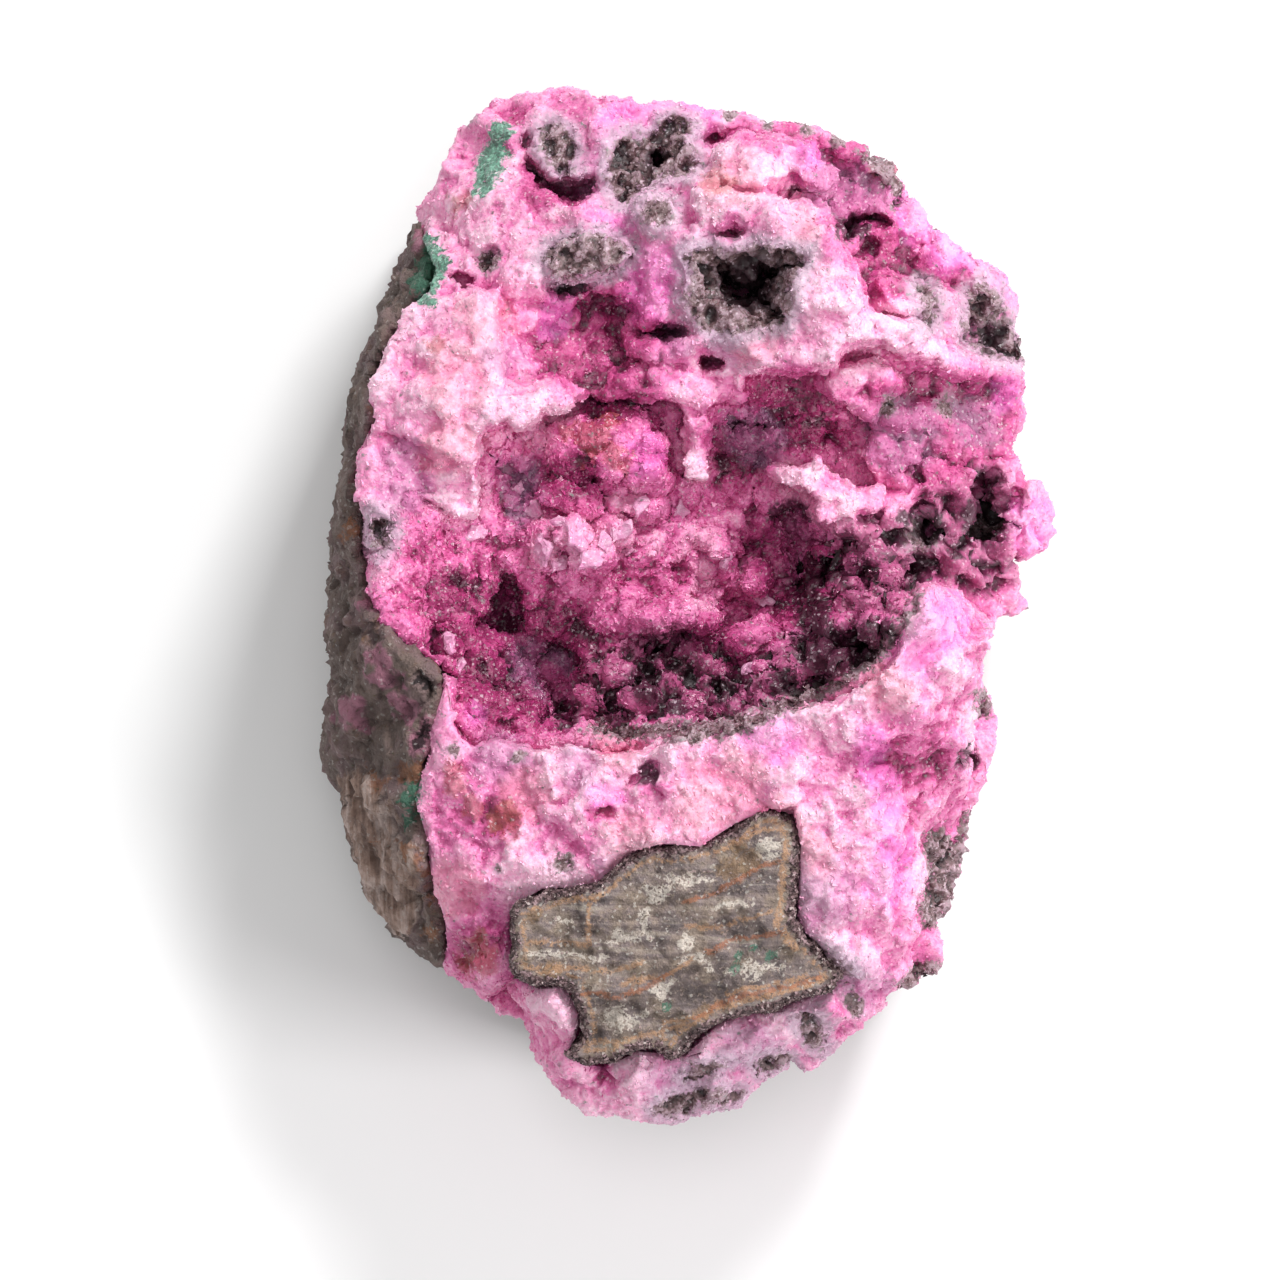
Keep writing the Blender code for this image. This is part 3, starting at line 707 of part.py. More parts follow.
def plan_mesh(outline, lines, spacing, height, spots=()):
    """Triangulate an outline with crisp lines and chosen spots, and lift each corner."""
    corners = []
    edges = []
    for loop in [outline] + lines:
        first = len(corners)
        corners += [Vector(point) for point in loop]
        edges += [(first + i, first + (i + 1) % len(loop)) for i in range(len(loop))]
    corners += [Vector(spot) for spot in spots]
    corners += scattered_points(outline, list(corners), spacing)
    points, _, faces = delaunay_2d_cdt(corners, edges, [], 0, MERGE_REACH)[:3]
    mesh = bmesh.new()
    made = [mesh.verts.new((x, y, height(x, y))) for x, y in points]
    for face in faces:
        middle = sum((points[i] for i in face), Vector((0.0, 0.0))) / len(face)
        if inside(outline, middle.x, middle.y):
            mesh.faces.new([made[i] for i in face])
    bmesh.ops.delete(mesh, geom=[v for v in mesh.verts if not v.link_faces], context="VERTS")
    return mesh


def rim_of(mesh):
    """Walk the open rim of a mesh and give its corners in clockwise order."""
    edges = [edge for edge in mesh.edges if edge.is_boundary]
    start = edges[0].verts[0]
    rim = [start]
    edge = edges[0]
    corner = edge.other_vert(start)
    while corner is not start:
        rim.append(corner)
        edge = next(e for e in corner.link_edges if e.is_boundary and e is not edge)
        corner = edge.other_vert(corner)
    plan = [(v.co.x, v.co.y) for v in rim]
    return rim if clockwise(plan) == plan else rim[::-1]


def add_skirt(mesh, rim, places):
    """Add a strip from a rim to a new rim at the given places."""
    lower = [mesh.verts.new(place) for place in places]
    for i, corner in enumerate(rim):
        j = (i + 1) % len(rim)
        mesh.faces.new((corner, rim[j], lower[j], lower[i]))
    return lower


def close_flat(mesh, rim):
    """Close a level rim with one face."""
    mesh.faces.new(rim)


def close_curved(mesh, rim, spacing, height):
    """Close a rim with a curved floor."""
    plan = [Vector((v.co.x, v.co.y)) for v in rim]
    outline = [(p.x, p.y) for p in plan]
    points = plan + scattered_points(outline, plan, spacing)
    edges = [(i, (i + 1) % len(plan)) for i in range(len(plan))]
    found, _, faces, origins = delaunay_2d_cdt(points, edges, [], 0, 0.00001)[:4]
    corners = []
    for (x, y), origin in zip(found, origins):
        on_rim = [i for i in origin if i < len(rim)]
        corners.append(rim[on_rim[0]] if on_rim else mesh.verts.new((x, y, height(x, y))))
    for face in faces:
        middle = sum((found[i] for i in face), Vector((0.0, 0.0))) / len(face)
        if inside(outline, middle.x, middle.y):
            mesh.faces.new([corners[i] for i in reversed(face)])
    bmesh.ops.delete(mesh, geom=[v for v in mesh.verts if not v.link_faces], context="VERTS")


def make_material(name, colour, roughness):
    """A Principled material of one colour."""
    material = bpy.data.materials.new(name)
    material.use_nodes = True
    shader = material.node_tree.nodes["Principled BSDF"]
    shader.inputs["Base Color"].default_value = (*colour, 1.0)
    shader.inputs["Roughness"].default_value = roughness
    material.diffuse_color = (*colour, 1.0)
    return material


def make_object(name, mesh, material):
    """Scale a drawn mesh to real size and put it in the scene."""
    bmesh.ops.triangulate(mesh, faces=[face for face in mesh.faces if len(face.verts) > 3])
    bmesh.ops.recalc_face_normals(mesh, faces=mesh.faces)
    for corner in mesh.verts:
        corner.co = (corner.co.x * PLAN_SCALE, corner.co.y * PLAN_SCALE, corner.co.z * HEIGHT_SCALE)
    data = bpy.data.meshes.new(name)
    mesh.to_mesh(data)
    mesh.free()
    data.materials.append(material)
    item = bpy.data.objects.new(name, data)
    bpy.context.scene.collection.objects.link(item)
    return item


def lines_of(forms, least_size):
    """Outer and inner edge lines of the forms that are large enough to show."""
    lines = []
    for form in forms:
        xs = [x for x, y in form.outline]
        ys = [y for x, y in form.outline]
        if max(max(xs) - min(xs), max(ys) - min(ys)) > least_size:
            lines += [form.outline, offset(form.outline, -form.edge)]
    return lines


def seat_height(x, y):
    """Height of the uneven seat on which the calcite grew."""
    return SEAT + 1.6 * math.sin(0.07 * x + 1.1) * math.cos(0.05 * y - 0.4)


def flank_share(x, y):
    """How freely an outline point may be moved: not at all along the left flank's line."""
    return min(1.0, max(0.0, -distance(FLANK_LOOP, x, y) - 0.4) / 5.0)


def retreat(plan, window, inset, rough):
    """Draw an outline in towards the middle, leaving its small points behind."""
    reach = [math.hypot(x, y) for x, y in plan]
    count = len(plan)
    drawn = []
    for i, (x, y) in enumerate(plan):
        mean = sum(reach[(i + k) % count] for k in range(-window, window + 1)) / (2 * window + 1)
        wave = rough * noise.noise(Vector((x * 0.16, y * 0.16, 3.0 + inset)))
        goal = min(reach[i], mean) - inset + wave
        scale = 1.0 + (goal / reach[i] - 1.0) * flank_share(x, y)
        drawn.append((x * scale, y * scale))
    return drawn


def build_host_rock():
    """Host rock: a slab under the calcite that rises along the left flank."""
    lines = [offset(CALCITE_LOOP, CLEAR), offset(CALCITE_LOOP, WALL_WIDTH)]
    outline = retreat(clockwise(OUTLINE), RIM_SMOOTHING, RIM_INSET, RIM_ROUGHNESS)
    spots = [(x, y) for x, y, height in FRONT[0].marks if distance(outline, x, y) > 1.2]
    mesh = plan_mesh(outline, lines, HOST_SPACING, host_height, spots)
    rim = rim_of(mesh)
    top = [corner.co.copy() for corner in rim]
    for share, inset in HOST_RINGS:
        places = []
        for x, y, z in top:
            reach = math.hypot(x, y)
            wave = 1.4 * noise.noise(Vector((x * 0.2, y * 0.2, 6.0 + share)))
            scale = (reach - inset + wave) / reach
            places.append((x * scale, y * scale, z * share))
        rim = add_skirt(mesh, rim, places)
    close_flat(mesh, rim)
    return make_object("host_rock", mesh, make_material("host rock", (0.16, 0.135, 0.115), 0.85))


def build_massive_calcite():
    """Massive calcite: the pink body with its ledges, holes, plates and broken lower face."""
    lines = lines_of(FRONT, LEAST_CALCITE_FORM)
    for loop in (HOLLOW_LOOP, CLAST_LOOP):
        lines += [offset(loop, CLEAR), offset(loop, WALL_WIDTH)]
    mesh = plan_mesh(CALCITE_LOOP, lines, CALCITE_SPACING, calcite_height)
    rim = rim_of(mesh)
    top = [corner.co.copy() for corner in rim]
    outline = [(place.x, place.y) for place in top]
    for share, window, inset, rough in CALCITE_RINGS:
        places = []
        for (x, y), corner in zip(retreat(outline, window, inset, rough), top):
            floor = seat_height(x, y) + BED_GAP
            places.append((x, y, floor + (corner.z - floor) * share))
        rim = add_skirt(mesh, rim, places)
    close_curved(mesh, rim, HOST_SPACING, lambda x, y: seat_height(x, y) + BED_GAP)
    return make_object("massive_calcite", mesh, make_material("massive calcite", (0.80, 0.36, 0.55), 0.45))


def build_hollow_druse():
    """Druse: one crust of pink crystals that lines the hollow."""
    mesh = plan_mesh(HOLLOW_LOOP, lines_of(DRUSE, LEAST_DRUSE_FORM), CRUST_SPACING, druse_height)
    rim = rim_of(mesh)
    places = []
    for corner in rim:
        x, y = corner.co.x, corner.co.y
        places.append((x, y, bowl_height(x, y) + BED_GAP))
    rim = add_skirt(mesh, rim, places)
    close_curved(mesh, rim, CALCITE_SPACING, lambda x, y: bowl_height(x, y) + BED_GAP)
    return make_object("hollow_druse", mesh, make_material("druse", (0.52, 0.10, 0.30), 0.3))


def build_banded_fragment():
    """Banded fragment: a piece of host rock held in the lower face of the calcite."""
    mesh = plan_mesh(CLAST_LOOP, [], CLAST_SPACING, clast_height)
    rim = rim_of(mesh)
    places = [(corner.co.x, corner.co.y, clast_floor(corner.co.x, corner.co.y)) for corner in rim]
    rim = add_skirt(mesh, rim, places)
    close_curved(mesh, rim, CLAST_BED_SPACING, clast_floor)
    return make_object("banded_fragment", mesh, make_material("banded rock", (0.19, 0.16, 0.13), 0.8))


def centre(items):
    """Put the middle of the whole specimen's footprint over the origin."""
    corners = [corner.co for item in items for corner in item.data.vertices]
    middle_x = 0.5 * (min(c.x for c in corners) + max(c.x for c in corners))
    middle_y = 0.5 * (min(c.y for c in corners) + max(c.y for c in corners))
    for item in items:
        item.data.transform(Matrix.Translation((-middle_x, -middle_y, 0.0)))


centre([build_host_rock(), build_massive_calcite(), build_hollow_druse(), build_banded_fragment()])
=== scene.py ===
# %% [markdown]
# # A pink calcite specimen
# A loose piece of cobaltoan calcite lies on its back. This lesson dresses its plain solids in a
# broken, sugary surface with knobs, crystals, stained rims and a banded fragment of rock.
# The solids come first, because each of them says where its piece is and how large.

# %% Start from the solids
import math

import bpy
import bmesh
import numpy as np
from mathutils import Matrix, Vector, noise
from mathutils.bvhtree import BVHTree


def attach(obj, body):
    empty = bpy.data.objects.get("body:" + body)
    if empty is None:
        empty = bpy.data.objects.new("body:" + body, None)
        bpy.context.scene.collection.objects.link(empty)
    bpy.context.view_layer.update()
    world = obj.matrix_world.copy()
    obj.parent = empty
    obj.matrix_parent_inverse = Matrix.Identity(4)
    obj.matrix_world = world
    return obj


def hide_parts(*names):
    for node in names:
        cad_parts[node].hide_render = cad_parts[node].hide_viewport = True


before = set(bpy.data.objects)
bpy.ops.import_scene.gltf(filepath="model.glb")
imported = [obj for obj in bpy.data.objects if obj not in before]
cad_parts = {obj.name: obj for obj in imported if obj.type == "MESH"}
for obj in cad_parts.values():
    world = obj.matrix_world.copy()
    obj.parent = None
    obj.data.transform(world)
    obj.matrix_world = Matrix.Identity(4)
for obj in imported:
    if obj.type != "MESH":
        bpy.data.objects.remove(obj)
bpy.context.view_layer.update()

print("solids:", sorted(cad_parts))

# %% [markdown]
# ## Helpers for shapes
# The specimen is drawn in millimetres, with x to the right, y up the specimen and z out of its
# front. Broken rock could be sculpted with brushes, or raised by displacement in a material. Here
# each piece becomes two arrays of numbers, places and normals, that the steps below push about,
# because numbers give the same stone each time and a real edge against the light.

# %% Work in millimetres
DRAWING_SHIFT = np.array([0.338, 0.0, 0.0])
DETAIL = 0.42
HIDDEN_REACH = 0.0016
LOW_HEIGHT = 0.030


def places_of(mesh):
    """Corner places of a mesh in drawing millimetres, and its corner normals."""
    places = np.empty(len(mesh.vertices) * 3, np.float32)
    mesh.vertices.foreach_get("co", places)
    normals = np.empty(len(mesh.vertices) * 3, np.float32)
    mesh.vertex_normals.foreach_get("vector", normals)
    return places.reshape(-1, 3) * 1000.0 - DRAWING_SHIFT, normals.reshape(-1, 3)


def set_places(mesh, places):
    """Put the corners of a mesh at places in drawing millimetres."""
    mesh.vertices.foreach_set("co", ((places + DRAWING_SHIFT) / 1000.0).astype(np.float32).ravel())
    mesh.update()


def new_object(name, data):
    """An object with this data, linked to the scene."""
    item = bpy.data.objects.new(name, data)
    bpy.context.scene.collection.objects.link(item)
    return item


def bake(item):
    """Make the result of an object's modifiers its mesh."""
    made = bpy.data.meshes.new_from_object(item.evaluated_get(bpy.context.evaluated_depsgraph_get()))
    item.modifiers.clear()
    item.data = made
    made.name = item.name


def fine_copy(node, name, detail):
    """A copy of a solid with an even, fine skin, whose flat facets are relaxed a little."""
    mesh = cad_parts[node].data.copy()
    work = bmesh.new()
    work.from_mesh(mesh)
    bmesh.ops.remove_doubles(work, verts=work.verts, dist=1e-6)
    work.to_mesh(mesh)
    work.free()
    mesh.materials.clear()
    item = new_object(name, mesh)
    skin = item.modifiers.new("skin", "REMESH")
    skin.mode = "VOXEL"
    skin.voxel_size = detail / 1000.0
    relaxed = item.modifiers.new("relax", "SMOOTH")
    relaxed.factor = 0.5
    relaxed.iterations = 1
    bake(item)
    return item


def thin_out(item, node, limit):
    """Merge small faces until a piece has at most this many triangles, first where it is hidden."""
    trees = []
    for name in sorted(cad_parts):
        if name != node:
            work = bmesh.new()
            work.from_mesh(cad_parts[name].data)
            trees.append(BVHTree.FromBMesh(work))
            work.free()
    triangles = sum(len(face.vertices) - 2 for face in item.data.polygons)
    if triangles > limit:
        hidden = item.vertex_groups.new(name="hidden")
        for corner in item.data.vertices:
            covered = any(tree.find_nearest(corner.co, HIDDEN_REACH)[0] for tree in trees)
            low = float(smooth(LOW_HEIGHT - corner.co.z, 0.0, 0.02))
            hidden.add([corner.index], 1.0 if covered else 0.2 + 0.3 * low, "REPLACE")
        merge = item.modifiers.new("merge", "DECIMATE")
        merge.ratio = limit / triangles
        merge.vertex_group = "hidden"
        merge.use_collapse_triangulate = True
        bake(item)
        item.vertex_groups.clear()
    item.data.shade_smooth()
    print(item.name, "had", triangles, "triangles and keeps", len(item.data.polygons), "faces")


def hollows(mesh, rounds):
    """How far each corner lies below the evened skin round it, in millimetres."""
    places, normals = places_of(mesh)
    ends = np.empty(len(mesh.edges) * 2, np.int32)
    mesh.edges.foreach_get("vertices", ends)
    first, second = ends[0::2], ends[1::2]
    count = np.maximum(np.bincount(ends, minlength=len(places)), 1)
    even = places.astype(np.float64)
    for _ in range(rounds):
        for axis in range(3):
            total = np.bincount(first, even[second, axis], len(places))
            total += np.bincount(second, even[first, axis], len(places))
            even[:, axis] += 0.5 * (total / count - even[:, axis])
    return ((even - places) * normals).sum(axis=1)


def smooth(value, low, high):
    """0 below low, 1 above high, and a soft step between them."""
    share = np.clip((value - low) / (high - low), 0.0, 1.0)
    return share * share * (3.0 - 2.0 * share)


def cloud(places, size, seed, detail=3):
    """Soft cloudy noise from -1 to 1 with lumps of about this size."""
    made = [noise.fractal(p, 1.0, 2.0, detail) for p in (places / size + seed).tolist()]
    return np.clip(np.array(made) * 1.3, -1.0, 1.0)


def knobs(places, size, seed):
    """Rounded knobs that meet in creases: 1 on top, 0 at the bottom of the deepest creases."""
    near = np.array([noise.voronoi(p)[0][0] for p in (places / size + seed).tolist()])
    return np.sqrt(np.clip(1.0 - near * near / 1.05, 0.0, 1.0))


def crystal_faces(places, size, seed):
    """Small flat crystal faces, each with a tilt of its own, from about -0.5 to 0.5."""
    made = []
    for p in (places / size + seed).tolist():
        site = noise.voronoi(p)[1][0]
        tilt = noise.cell_vector(site * 7.0)
        made.append((Vector(p) - site).dot(tilt - Vector((0.5, 0.5, 0.5))) + 0.3 * (tilt.x - 0.5))
    return np.array(made)


def away_from(line, x, y, closed=False):
    """Distance of plan points from a line of points."""
    nearest = np.full(len(x), 1e9)
    ends = line[1:] + line[:1] if closed else line[1:]
    for (ax, ay), (bx, by) in zip(line, ends):
        run_x, run_y = bx - ax, by - ay
        along = np.clip(((x - ax) * run_x + (y - ay) * run_y) / (run_x ** 2 + run_y ** 2), 0, 1)
        nearest = np.minimum(nearest, np.hypot(x - ax - along * run_x, y - ay - along * run_y))
    return nearest


def depth_in(outline, x, y):
    """How far plan points lie inside an outline, negative outside it."""
    within = np.zeros(len(x), bool)
    for (ax, ay), (bx, by) in zip(outline, outline[1:] + outline[:1]):
        if ay != by:
            within ^= ((ay > y) != (by > y)) & (x < ax + (bx - ax) * (y - ay) / (by - ay))
    return np.where(within, 1.0, -1.0) * away_from(outline, x, y, closed=True)


def dabs(spots, x, y, softness=0.4):
    """A mask painted with soft round dabs, each (x, y, radius)."""
    mask = np.zeros(len(x))
    for spot_x, spot_y, radius in spots:
        away = np.hypot(x - spot_x, y - spot_y) / radius
        mask = np.maximum(mask, 1.0 - smooth(away, 1.0 - softness, 1.0 + softness))
    return mask


def paint(mesh, name, values):
    """Store one mask on the corners of a mesh, in the place of an older one of that name."""
    if name in mesh.attributes:
        mesh.attributes.remove(mesh.attributes[name])
    mask = mesh.attributes.new(name, "FLOAT", "POINT")
    mask.data.foreach_set("value", np.clip(values, 0.0, 1.0).astype(np.float32))

# %% [markdown]
# ## What is where on the front
# The pink of this mineral is never even. Cleaved masses are nearly white, crusts in the hollow are
# deep pink, and host rock shows as grey-brown cells and rims. An image could carry all that, but
# it would be stuck to one view. Each tint is a mask instead: soft tints are painted with round dabs,
# (x, y, radius) in millimetres, and crisp ones with outlines.

# %% Paint soft tints as dabs
PALE = [(16, -12, 5), (26.4, -3.6, 2.4), (3, 51.8, 0.8), (6, 51.2, 0.8), (9, 50.6, 0.8),
        (12, 49.8, 0.8), (15, 48.8, 0.8), (17.4, 47.8, 0.8), (0, 6, 3), (-30, 24, 5), (-26, 28, 6),
        (-24, 21, 6), (-18, 20, 4), (-14, 21, 3), (-24, 40, 4), (-16, 38, 4), (-22, 46, 3), (6, 46, 6),
        (12, 44, 4), (2, 41, 4), (13, 36, 5), (14, 30, 5), (6, 27, 4), (-2, 25, 3), (0.3, 15, 2.2),
        (20, 28, 4), (25, 26, 2.5), (-12, 6.5, 3), (-15.5, 5.4, 2), (-8, 7, 2), (-16.6, 10, 1.6),
        (-25, 11.2, 3.4), (-12, -18, 5), (-2, -19, 6), (-18, -27, 4), (8, -15, 5), (15, -12, 5),
        (20, -7, 4), (13, -20, 5), (26, -6, 3), (14, -25, 4), (17, -36, 4), (-8, -51, 5), (3, -46.5, 3),
        (-15, -29, 4), (28, -13, 3), (-6, -25, 4), (-14.5, -43, 3), (11, 13.8, 2.6), (16, 10.5, 2),
        (-27, -5.4, 2), (18, 24.6, 2), (-4, 36, 2), (12, -30, 3), (20, -28, 5), (24, -3, 3),
        (22, -12, 4), (18, -22, 4), (24, 41, 2), (28, 37.6, 1.6), (32.6, 33.4, 1.4), (36, 8, 2),
        (-5, 7, 1.6), (4, 10, 1.6), (1, 1, 2), (-7, 11, 2), (22, 30, 2), (-6, -50, 3), (9, -45, 2),
        (-32, 3, 1.6)]
DEEP = [(-12, 25, 4), (-14, 29, 3), (-12, 28, 5), (-7, 25, 5), (-4, 28, 3), (-9, 32, 3), (-14, 25, 2.4),
        (-26, -4, 3), (4, 49.6, 1.6), (8, 49, 1.8), (12, 48.4, 2), (15, 46, 3), (17, 43.4, 2.4),
        (-20.6, -22.4, 2.4), (-16, 44, 2.6), (-12, 42.6, 1.6), (3.8, 39, 1.6), (17, 40, 3), (16, 46, 5),
        (20, 38, 3), (24, 20, 6), (10, 20, 5), (5, 17, 4), (8.6, 6, 3), (12, 2, 4.4), (-20, -1, 4),
        (-15, -7, 6), (-21, -8, 4), (-17, -2, 3), (-13, -3, 3), (20, 36, 4), (16, 38, 3), (-9, 29, 3),
        (-25, 1, 3), (2, -6, 4), (-2, 25, 2), (-10, 20, 2), (24, -15, 4), (19, -17, 3),
        (-9.4, -22.3, 1.3), (-23, -36, 3), (21.6, -26, 2), (31, 20, 5), (20, 22, 2), (-9.4, -49.8, 1.2),
        (26, 35, 2.4), (13.5, -43, 1.4), (-13, 13, 3), (-18, 12, 3), (6, 49.8, 2), (10, 49.8, 2),
        (26, 15, 4), (-4, -19, 1)]
# Painted shade: these dabs paint holes, gaps and recesses nearly black, where shade falls.
SHADE_IN_HOLES = [(17, -4.6, 2.6), (14, -5.6, 2.2), (20, -2.6, 1.4), (3, -9, 1.8), (-5, -8.6, 2),
        (-2, -10.4, 1.6), (12, 3, 2.6), (10.6, 9.6, 1.8), (13, -1, 2), (-13.4, -11.4, 1.8),
        (-3.8, 47, 1.3), (6, 33.6, 3), (31, 9, 2.4), (31, 12.6, 1.4), (32, 28.6, 1.6), (13, -4.4, 2.6),
        (9.6, -8, 1.6), (25, 7.6, 1.6), (-28.3, -8.4, 0.9), (-28.3, -13.7, 1.1), (-4.9, -17.7, 1.2),
        (29, -16, 1.2), (-27.3, -3.4, 0.9), (-3.9, -4.6, 1.4), (18.4, 4, 1.2), (21, 5, 1),
        (16.6, 39.6, 1.6), (15, 3.6, 1.4), (22, 9.4, 1), (-13.6, 32.8, 1), (28.6, 6, 1.2)]
GREEN = [(-19.6, 49.8, 1.3), (-20.6, 48.2, 1.8), (-21.6, 46.4, 1.5), (-22.4, 44.6, 1.2),
         (-23, 43.4, 0.8), (-27.4, 38, 1.2), (-27.8, 36, 1.6), (-28.0, 33.8, 1.6), (-28.5, 32.2, 1.1),
         (-29.3, -19.2, 0.8), (-29.8, -21, 0.9), (-30.2, -23, 0.8)]
RUST = [(-27.3, 27.5, 0.8), (-11.4, 17, 1.6), (-9, 16.6, 1.8), (-7.4, 15.4, 1.4), (-8.4, 19.2, 1.2),
        (0.2, 33.6, 0.9), (-25, -18.6, 1.6), (-23.6, -21.2, 1.2), (-20, -23, 1.8), (-22.8, -34.6, 1.2),
        (-22.4, -37.6, 2), (20.8, 46.2, 1.6), (-24.6, 42.6, 1.2), (24.8, 32.4, 0.9), (2.6, 44.4, 1.6),
        (-13.4, 18.6, 1)]
LILAC = [(5.4, 18.4, 3), (8, 17, 2.4), (-2, 28, 2), (-18, 13.6, 2.6), (-18, 10.6, 2),
         (-30.8, 15.6, 2.2), (14, -30, 4), (11, -35, 3), (0, 37, 2.4), (-10, 45, 2.4), (-20, 26, 2),
         (18, -40, 3), (6, -47, 3), (-16, -7, 3), (22, 18, 4), (30, 19, 3), (19, 44, 3), (5, 29, 4),
         (-20, -16, 3), (-8, -28, 2.4), (-12, -17, 2), (-30, 12, 3), (15, 44, 3), (-2, -51, 3)]
VIVID = [(26, -2, 3), (23, -5, 3), (18.4, -15, 2.2), (19.6, -18.4, 2), (20, -22, 2), (20.6, -26, 2.2),
         (20.6, -30, 2.4), (-6, 50, 4), (0, 52, 3), (24, 41, 3), (28, 38, 3), (33, 33, 2), (-4, 34, 4),
         (-14.4, 30, 2), (-8, 40, 2), (-5, 15.6, 2.4), (8, -14, 3), (-22.8, -12, 1.4), (36, 8, 3),
         (33, 22, 2), (-9, -20, 2), (12, 47, 2)]
SALMON = [(1, -21, 4), (5, -18, 3), (-6, -24.6, 3), (9, -23, 3), (4, 44, 3), (-25, 24, 4), (-22, 30, 3),
          (7, 28, 2.4), (13, -26, 2.4), (-8, -14.6, 2.4), (-25, -30, 3), (-26, 17, 3), (11.6, 40, 2),
          (-18, -20, 3), (21, -8, 3)]
TINTS_AND_SHADE_DABS = {"salmon": SALMON, "pale": PALE, "deep": DEEP, "dark": SHADE_IN_HOLES, "green": GREEN,
              "rust": RUST, "lilac": LILAC, "vivid": VIVID}
print("dabs:", {name: len(spots) for name, spots in TINTS_AND_SHADE_DABS.items()})

# %% Draw crisp tints as outlines
ROCK_CELLS = {
    "small cell": [(-16.4, 49.0), (-15.4, 50.4), (-14.0, 50.4), (-13.0, 49.3), (-12.6, 47.6),
                   (-12.7, 46.0), (-13.6, 45.6), (-14.6, 46.2), (-16.0, 47.4)],
    "sponge": [(-8.6, 47.5), (-8.0, 49.3), (-6.8, 49.8), (-5.4, 49.2), (-4.0, 49.6), (-2.8, 50.8),
               (-1.6, 51.6), (-0.5, 51.0), (-0.2, 50.0), (-0.8, 49.0), (0.2, 47.6), (0.4, 46.3),
               (-0.6, 45.3), (-2.5, 45.4), (-4.0, 44.7), (-5.6, 44.2), (-6.6, 42.4), (-7.6, 42.4),
               (-8.2, 44.0), (-8.7, 45.5)],
    "round spot": [(-5.6, 41.2), (-5.0, 42.3), (-3.9, 42.7), (-2.6, 42.3), (-2.1, 41.2), (-2.7, 40.1),
                   (-3.8, 39.7), (-5.0, 40.1)],
    "long cell": [(-15.7, 35.6), (-14.8, 37.0), (-13.4, 38.0), (-11.5, 38.6), (-9.5, 38.8),
                  (-8.0, 38.2), (-6.7, 37.4), (-6.4, 36.6), (-7.6, 35.9), (-9.5, 35.2), (-11.0, 35.0),
                  (-12.5, 34.5), (-14.0, 34.3), (-15.2, 34.9)],
    "star cell": [(-0.8, 37.0), (1.6, 37.4), (4.0, 37.0), (7.0, 37.6), (10.0, 37.4), (11.6, 36.6),
                  (11.4, 35.2), (10.2, 33.4), (10.3, 31.2), (9.6, 29.4), (7.0, 28.8), (4.4, 28.4),
                  (2.0, 28.8), (0.2, 30.2), (-0.8, 32.4), (-0.2, 34.6)],
    "right sponge": [(29.0, 32.6), (30.6, 34.0), (32.2, 33.0), (33.4, 31.0), (33.8, 29.2), (35.4, 27.6),
                     (35.4, 25.8), (33.4, 26.0), (31.2, 27.0), (29.4, 28.0), (28.6, 29.6), (29.4, 31.0)],
    "right notch": [(23.6, 33.6), (25.0, 33.6), (25.8, 32.0), (25.4, 29.6), (24.6, 29.4), (24.4, 31.6)],
    "ridge crust": [(-12.0, -13.6), (-8.0, -12.6), (-3.0, -12.8), (2.0, -12.0), (6.0, -11.4),
                    (10.0, -9.6), (14.0, -8.2), (17.6, -6.2), (20.0, -3.6), (21.6, -1.2), (23.6, 1.4),
                    (24.0, 1.0), (22.4, -1.8), (20.9, -4.6), (18.8, -7.0), (16.0, -8.8), (12.0, -10.8),
                    (8.0, -12.6), (4.0, -13.6), (0.0, -14.4), (-4.0, -14.0), (-8.0, -14.2)],
    "side rock": [(24.6, -24.2), (26.6, -23.2), (28.0, -25.6), (29.2, -22.0), (30.0, -24.0),
                  (29.4, -27.4), (28.0, -31.0), (26.8, -34.2), (24.6, -34.0), (23.8, -32.0),
                  (24.8, -29.0)],
    "side lump": [(29.8, -8.8), (31.6, -8.6), (32.0, -10.4), (31.4, -12.4), (29.8, -11.8)],
    "lip rock": [(21.4, -39.8), (23.4, -38.4), (25.6, -38.0), (27.0, -38.4), (25.2, -40.4),
                 (22.6, -41.2)],
    "rim cell": [(-34.0, 8.6), (-33.2, 9.4), (-32.2, 8.8), (-31.9, 7.2), (-32.7, 5.6), (-33.8, 6.6)],
    "bottom streak": [(-3.9, -53.2), (-2.8, -52.2), (0.0, -51.5), (2.8, -51.5), (5.2, -51.8),
                      (4.2, -52.9), (1.4, -52.9), (-1.4, -54.3), (-3.5, -54.1)],
    "second streak": [(-1.4, -50.1), (0.3, -48.8), (2.8, -48.1), (3.7, -48.7), (2.1, -49.5),
                      (0.0, -50.4)],
    "third streak": [(6.6, -48.3), (9.1, -47.8), (10.3, -48.5), (8.4, -49.4), (7.0, -49.4)],
    "lip streak": [(10.8, -43.1), (12.6, -43.4), (14.0, -44.8), (14.3, -46.9), (12.6, -46.6),
                   (11.2, -44.8)],
    "tip streak": [(12.2, -36.2), (14.6, -37.0), (16.6, -38.5), (15.6, -40.0), (14.0, -38.4),
                   (12.2, -37.4)],
    "shell rind": [(17.6, 47.8), (19.0, 48.2), (21.4, 46.6), (22.8, 44.6), (22.6, 43.0), (21.2, 41.6),
                   (21.4, 43.2), (20.0, 45.0)],
}
SHARP_EDGED = {"ridge crust", "side rock", "side lump", "lip rock", "shell rind"}
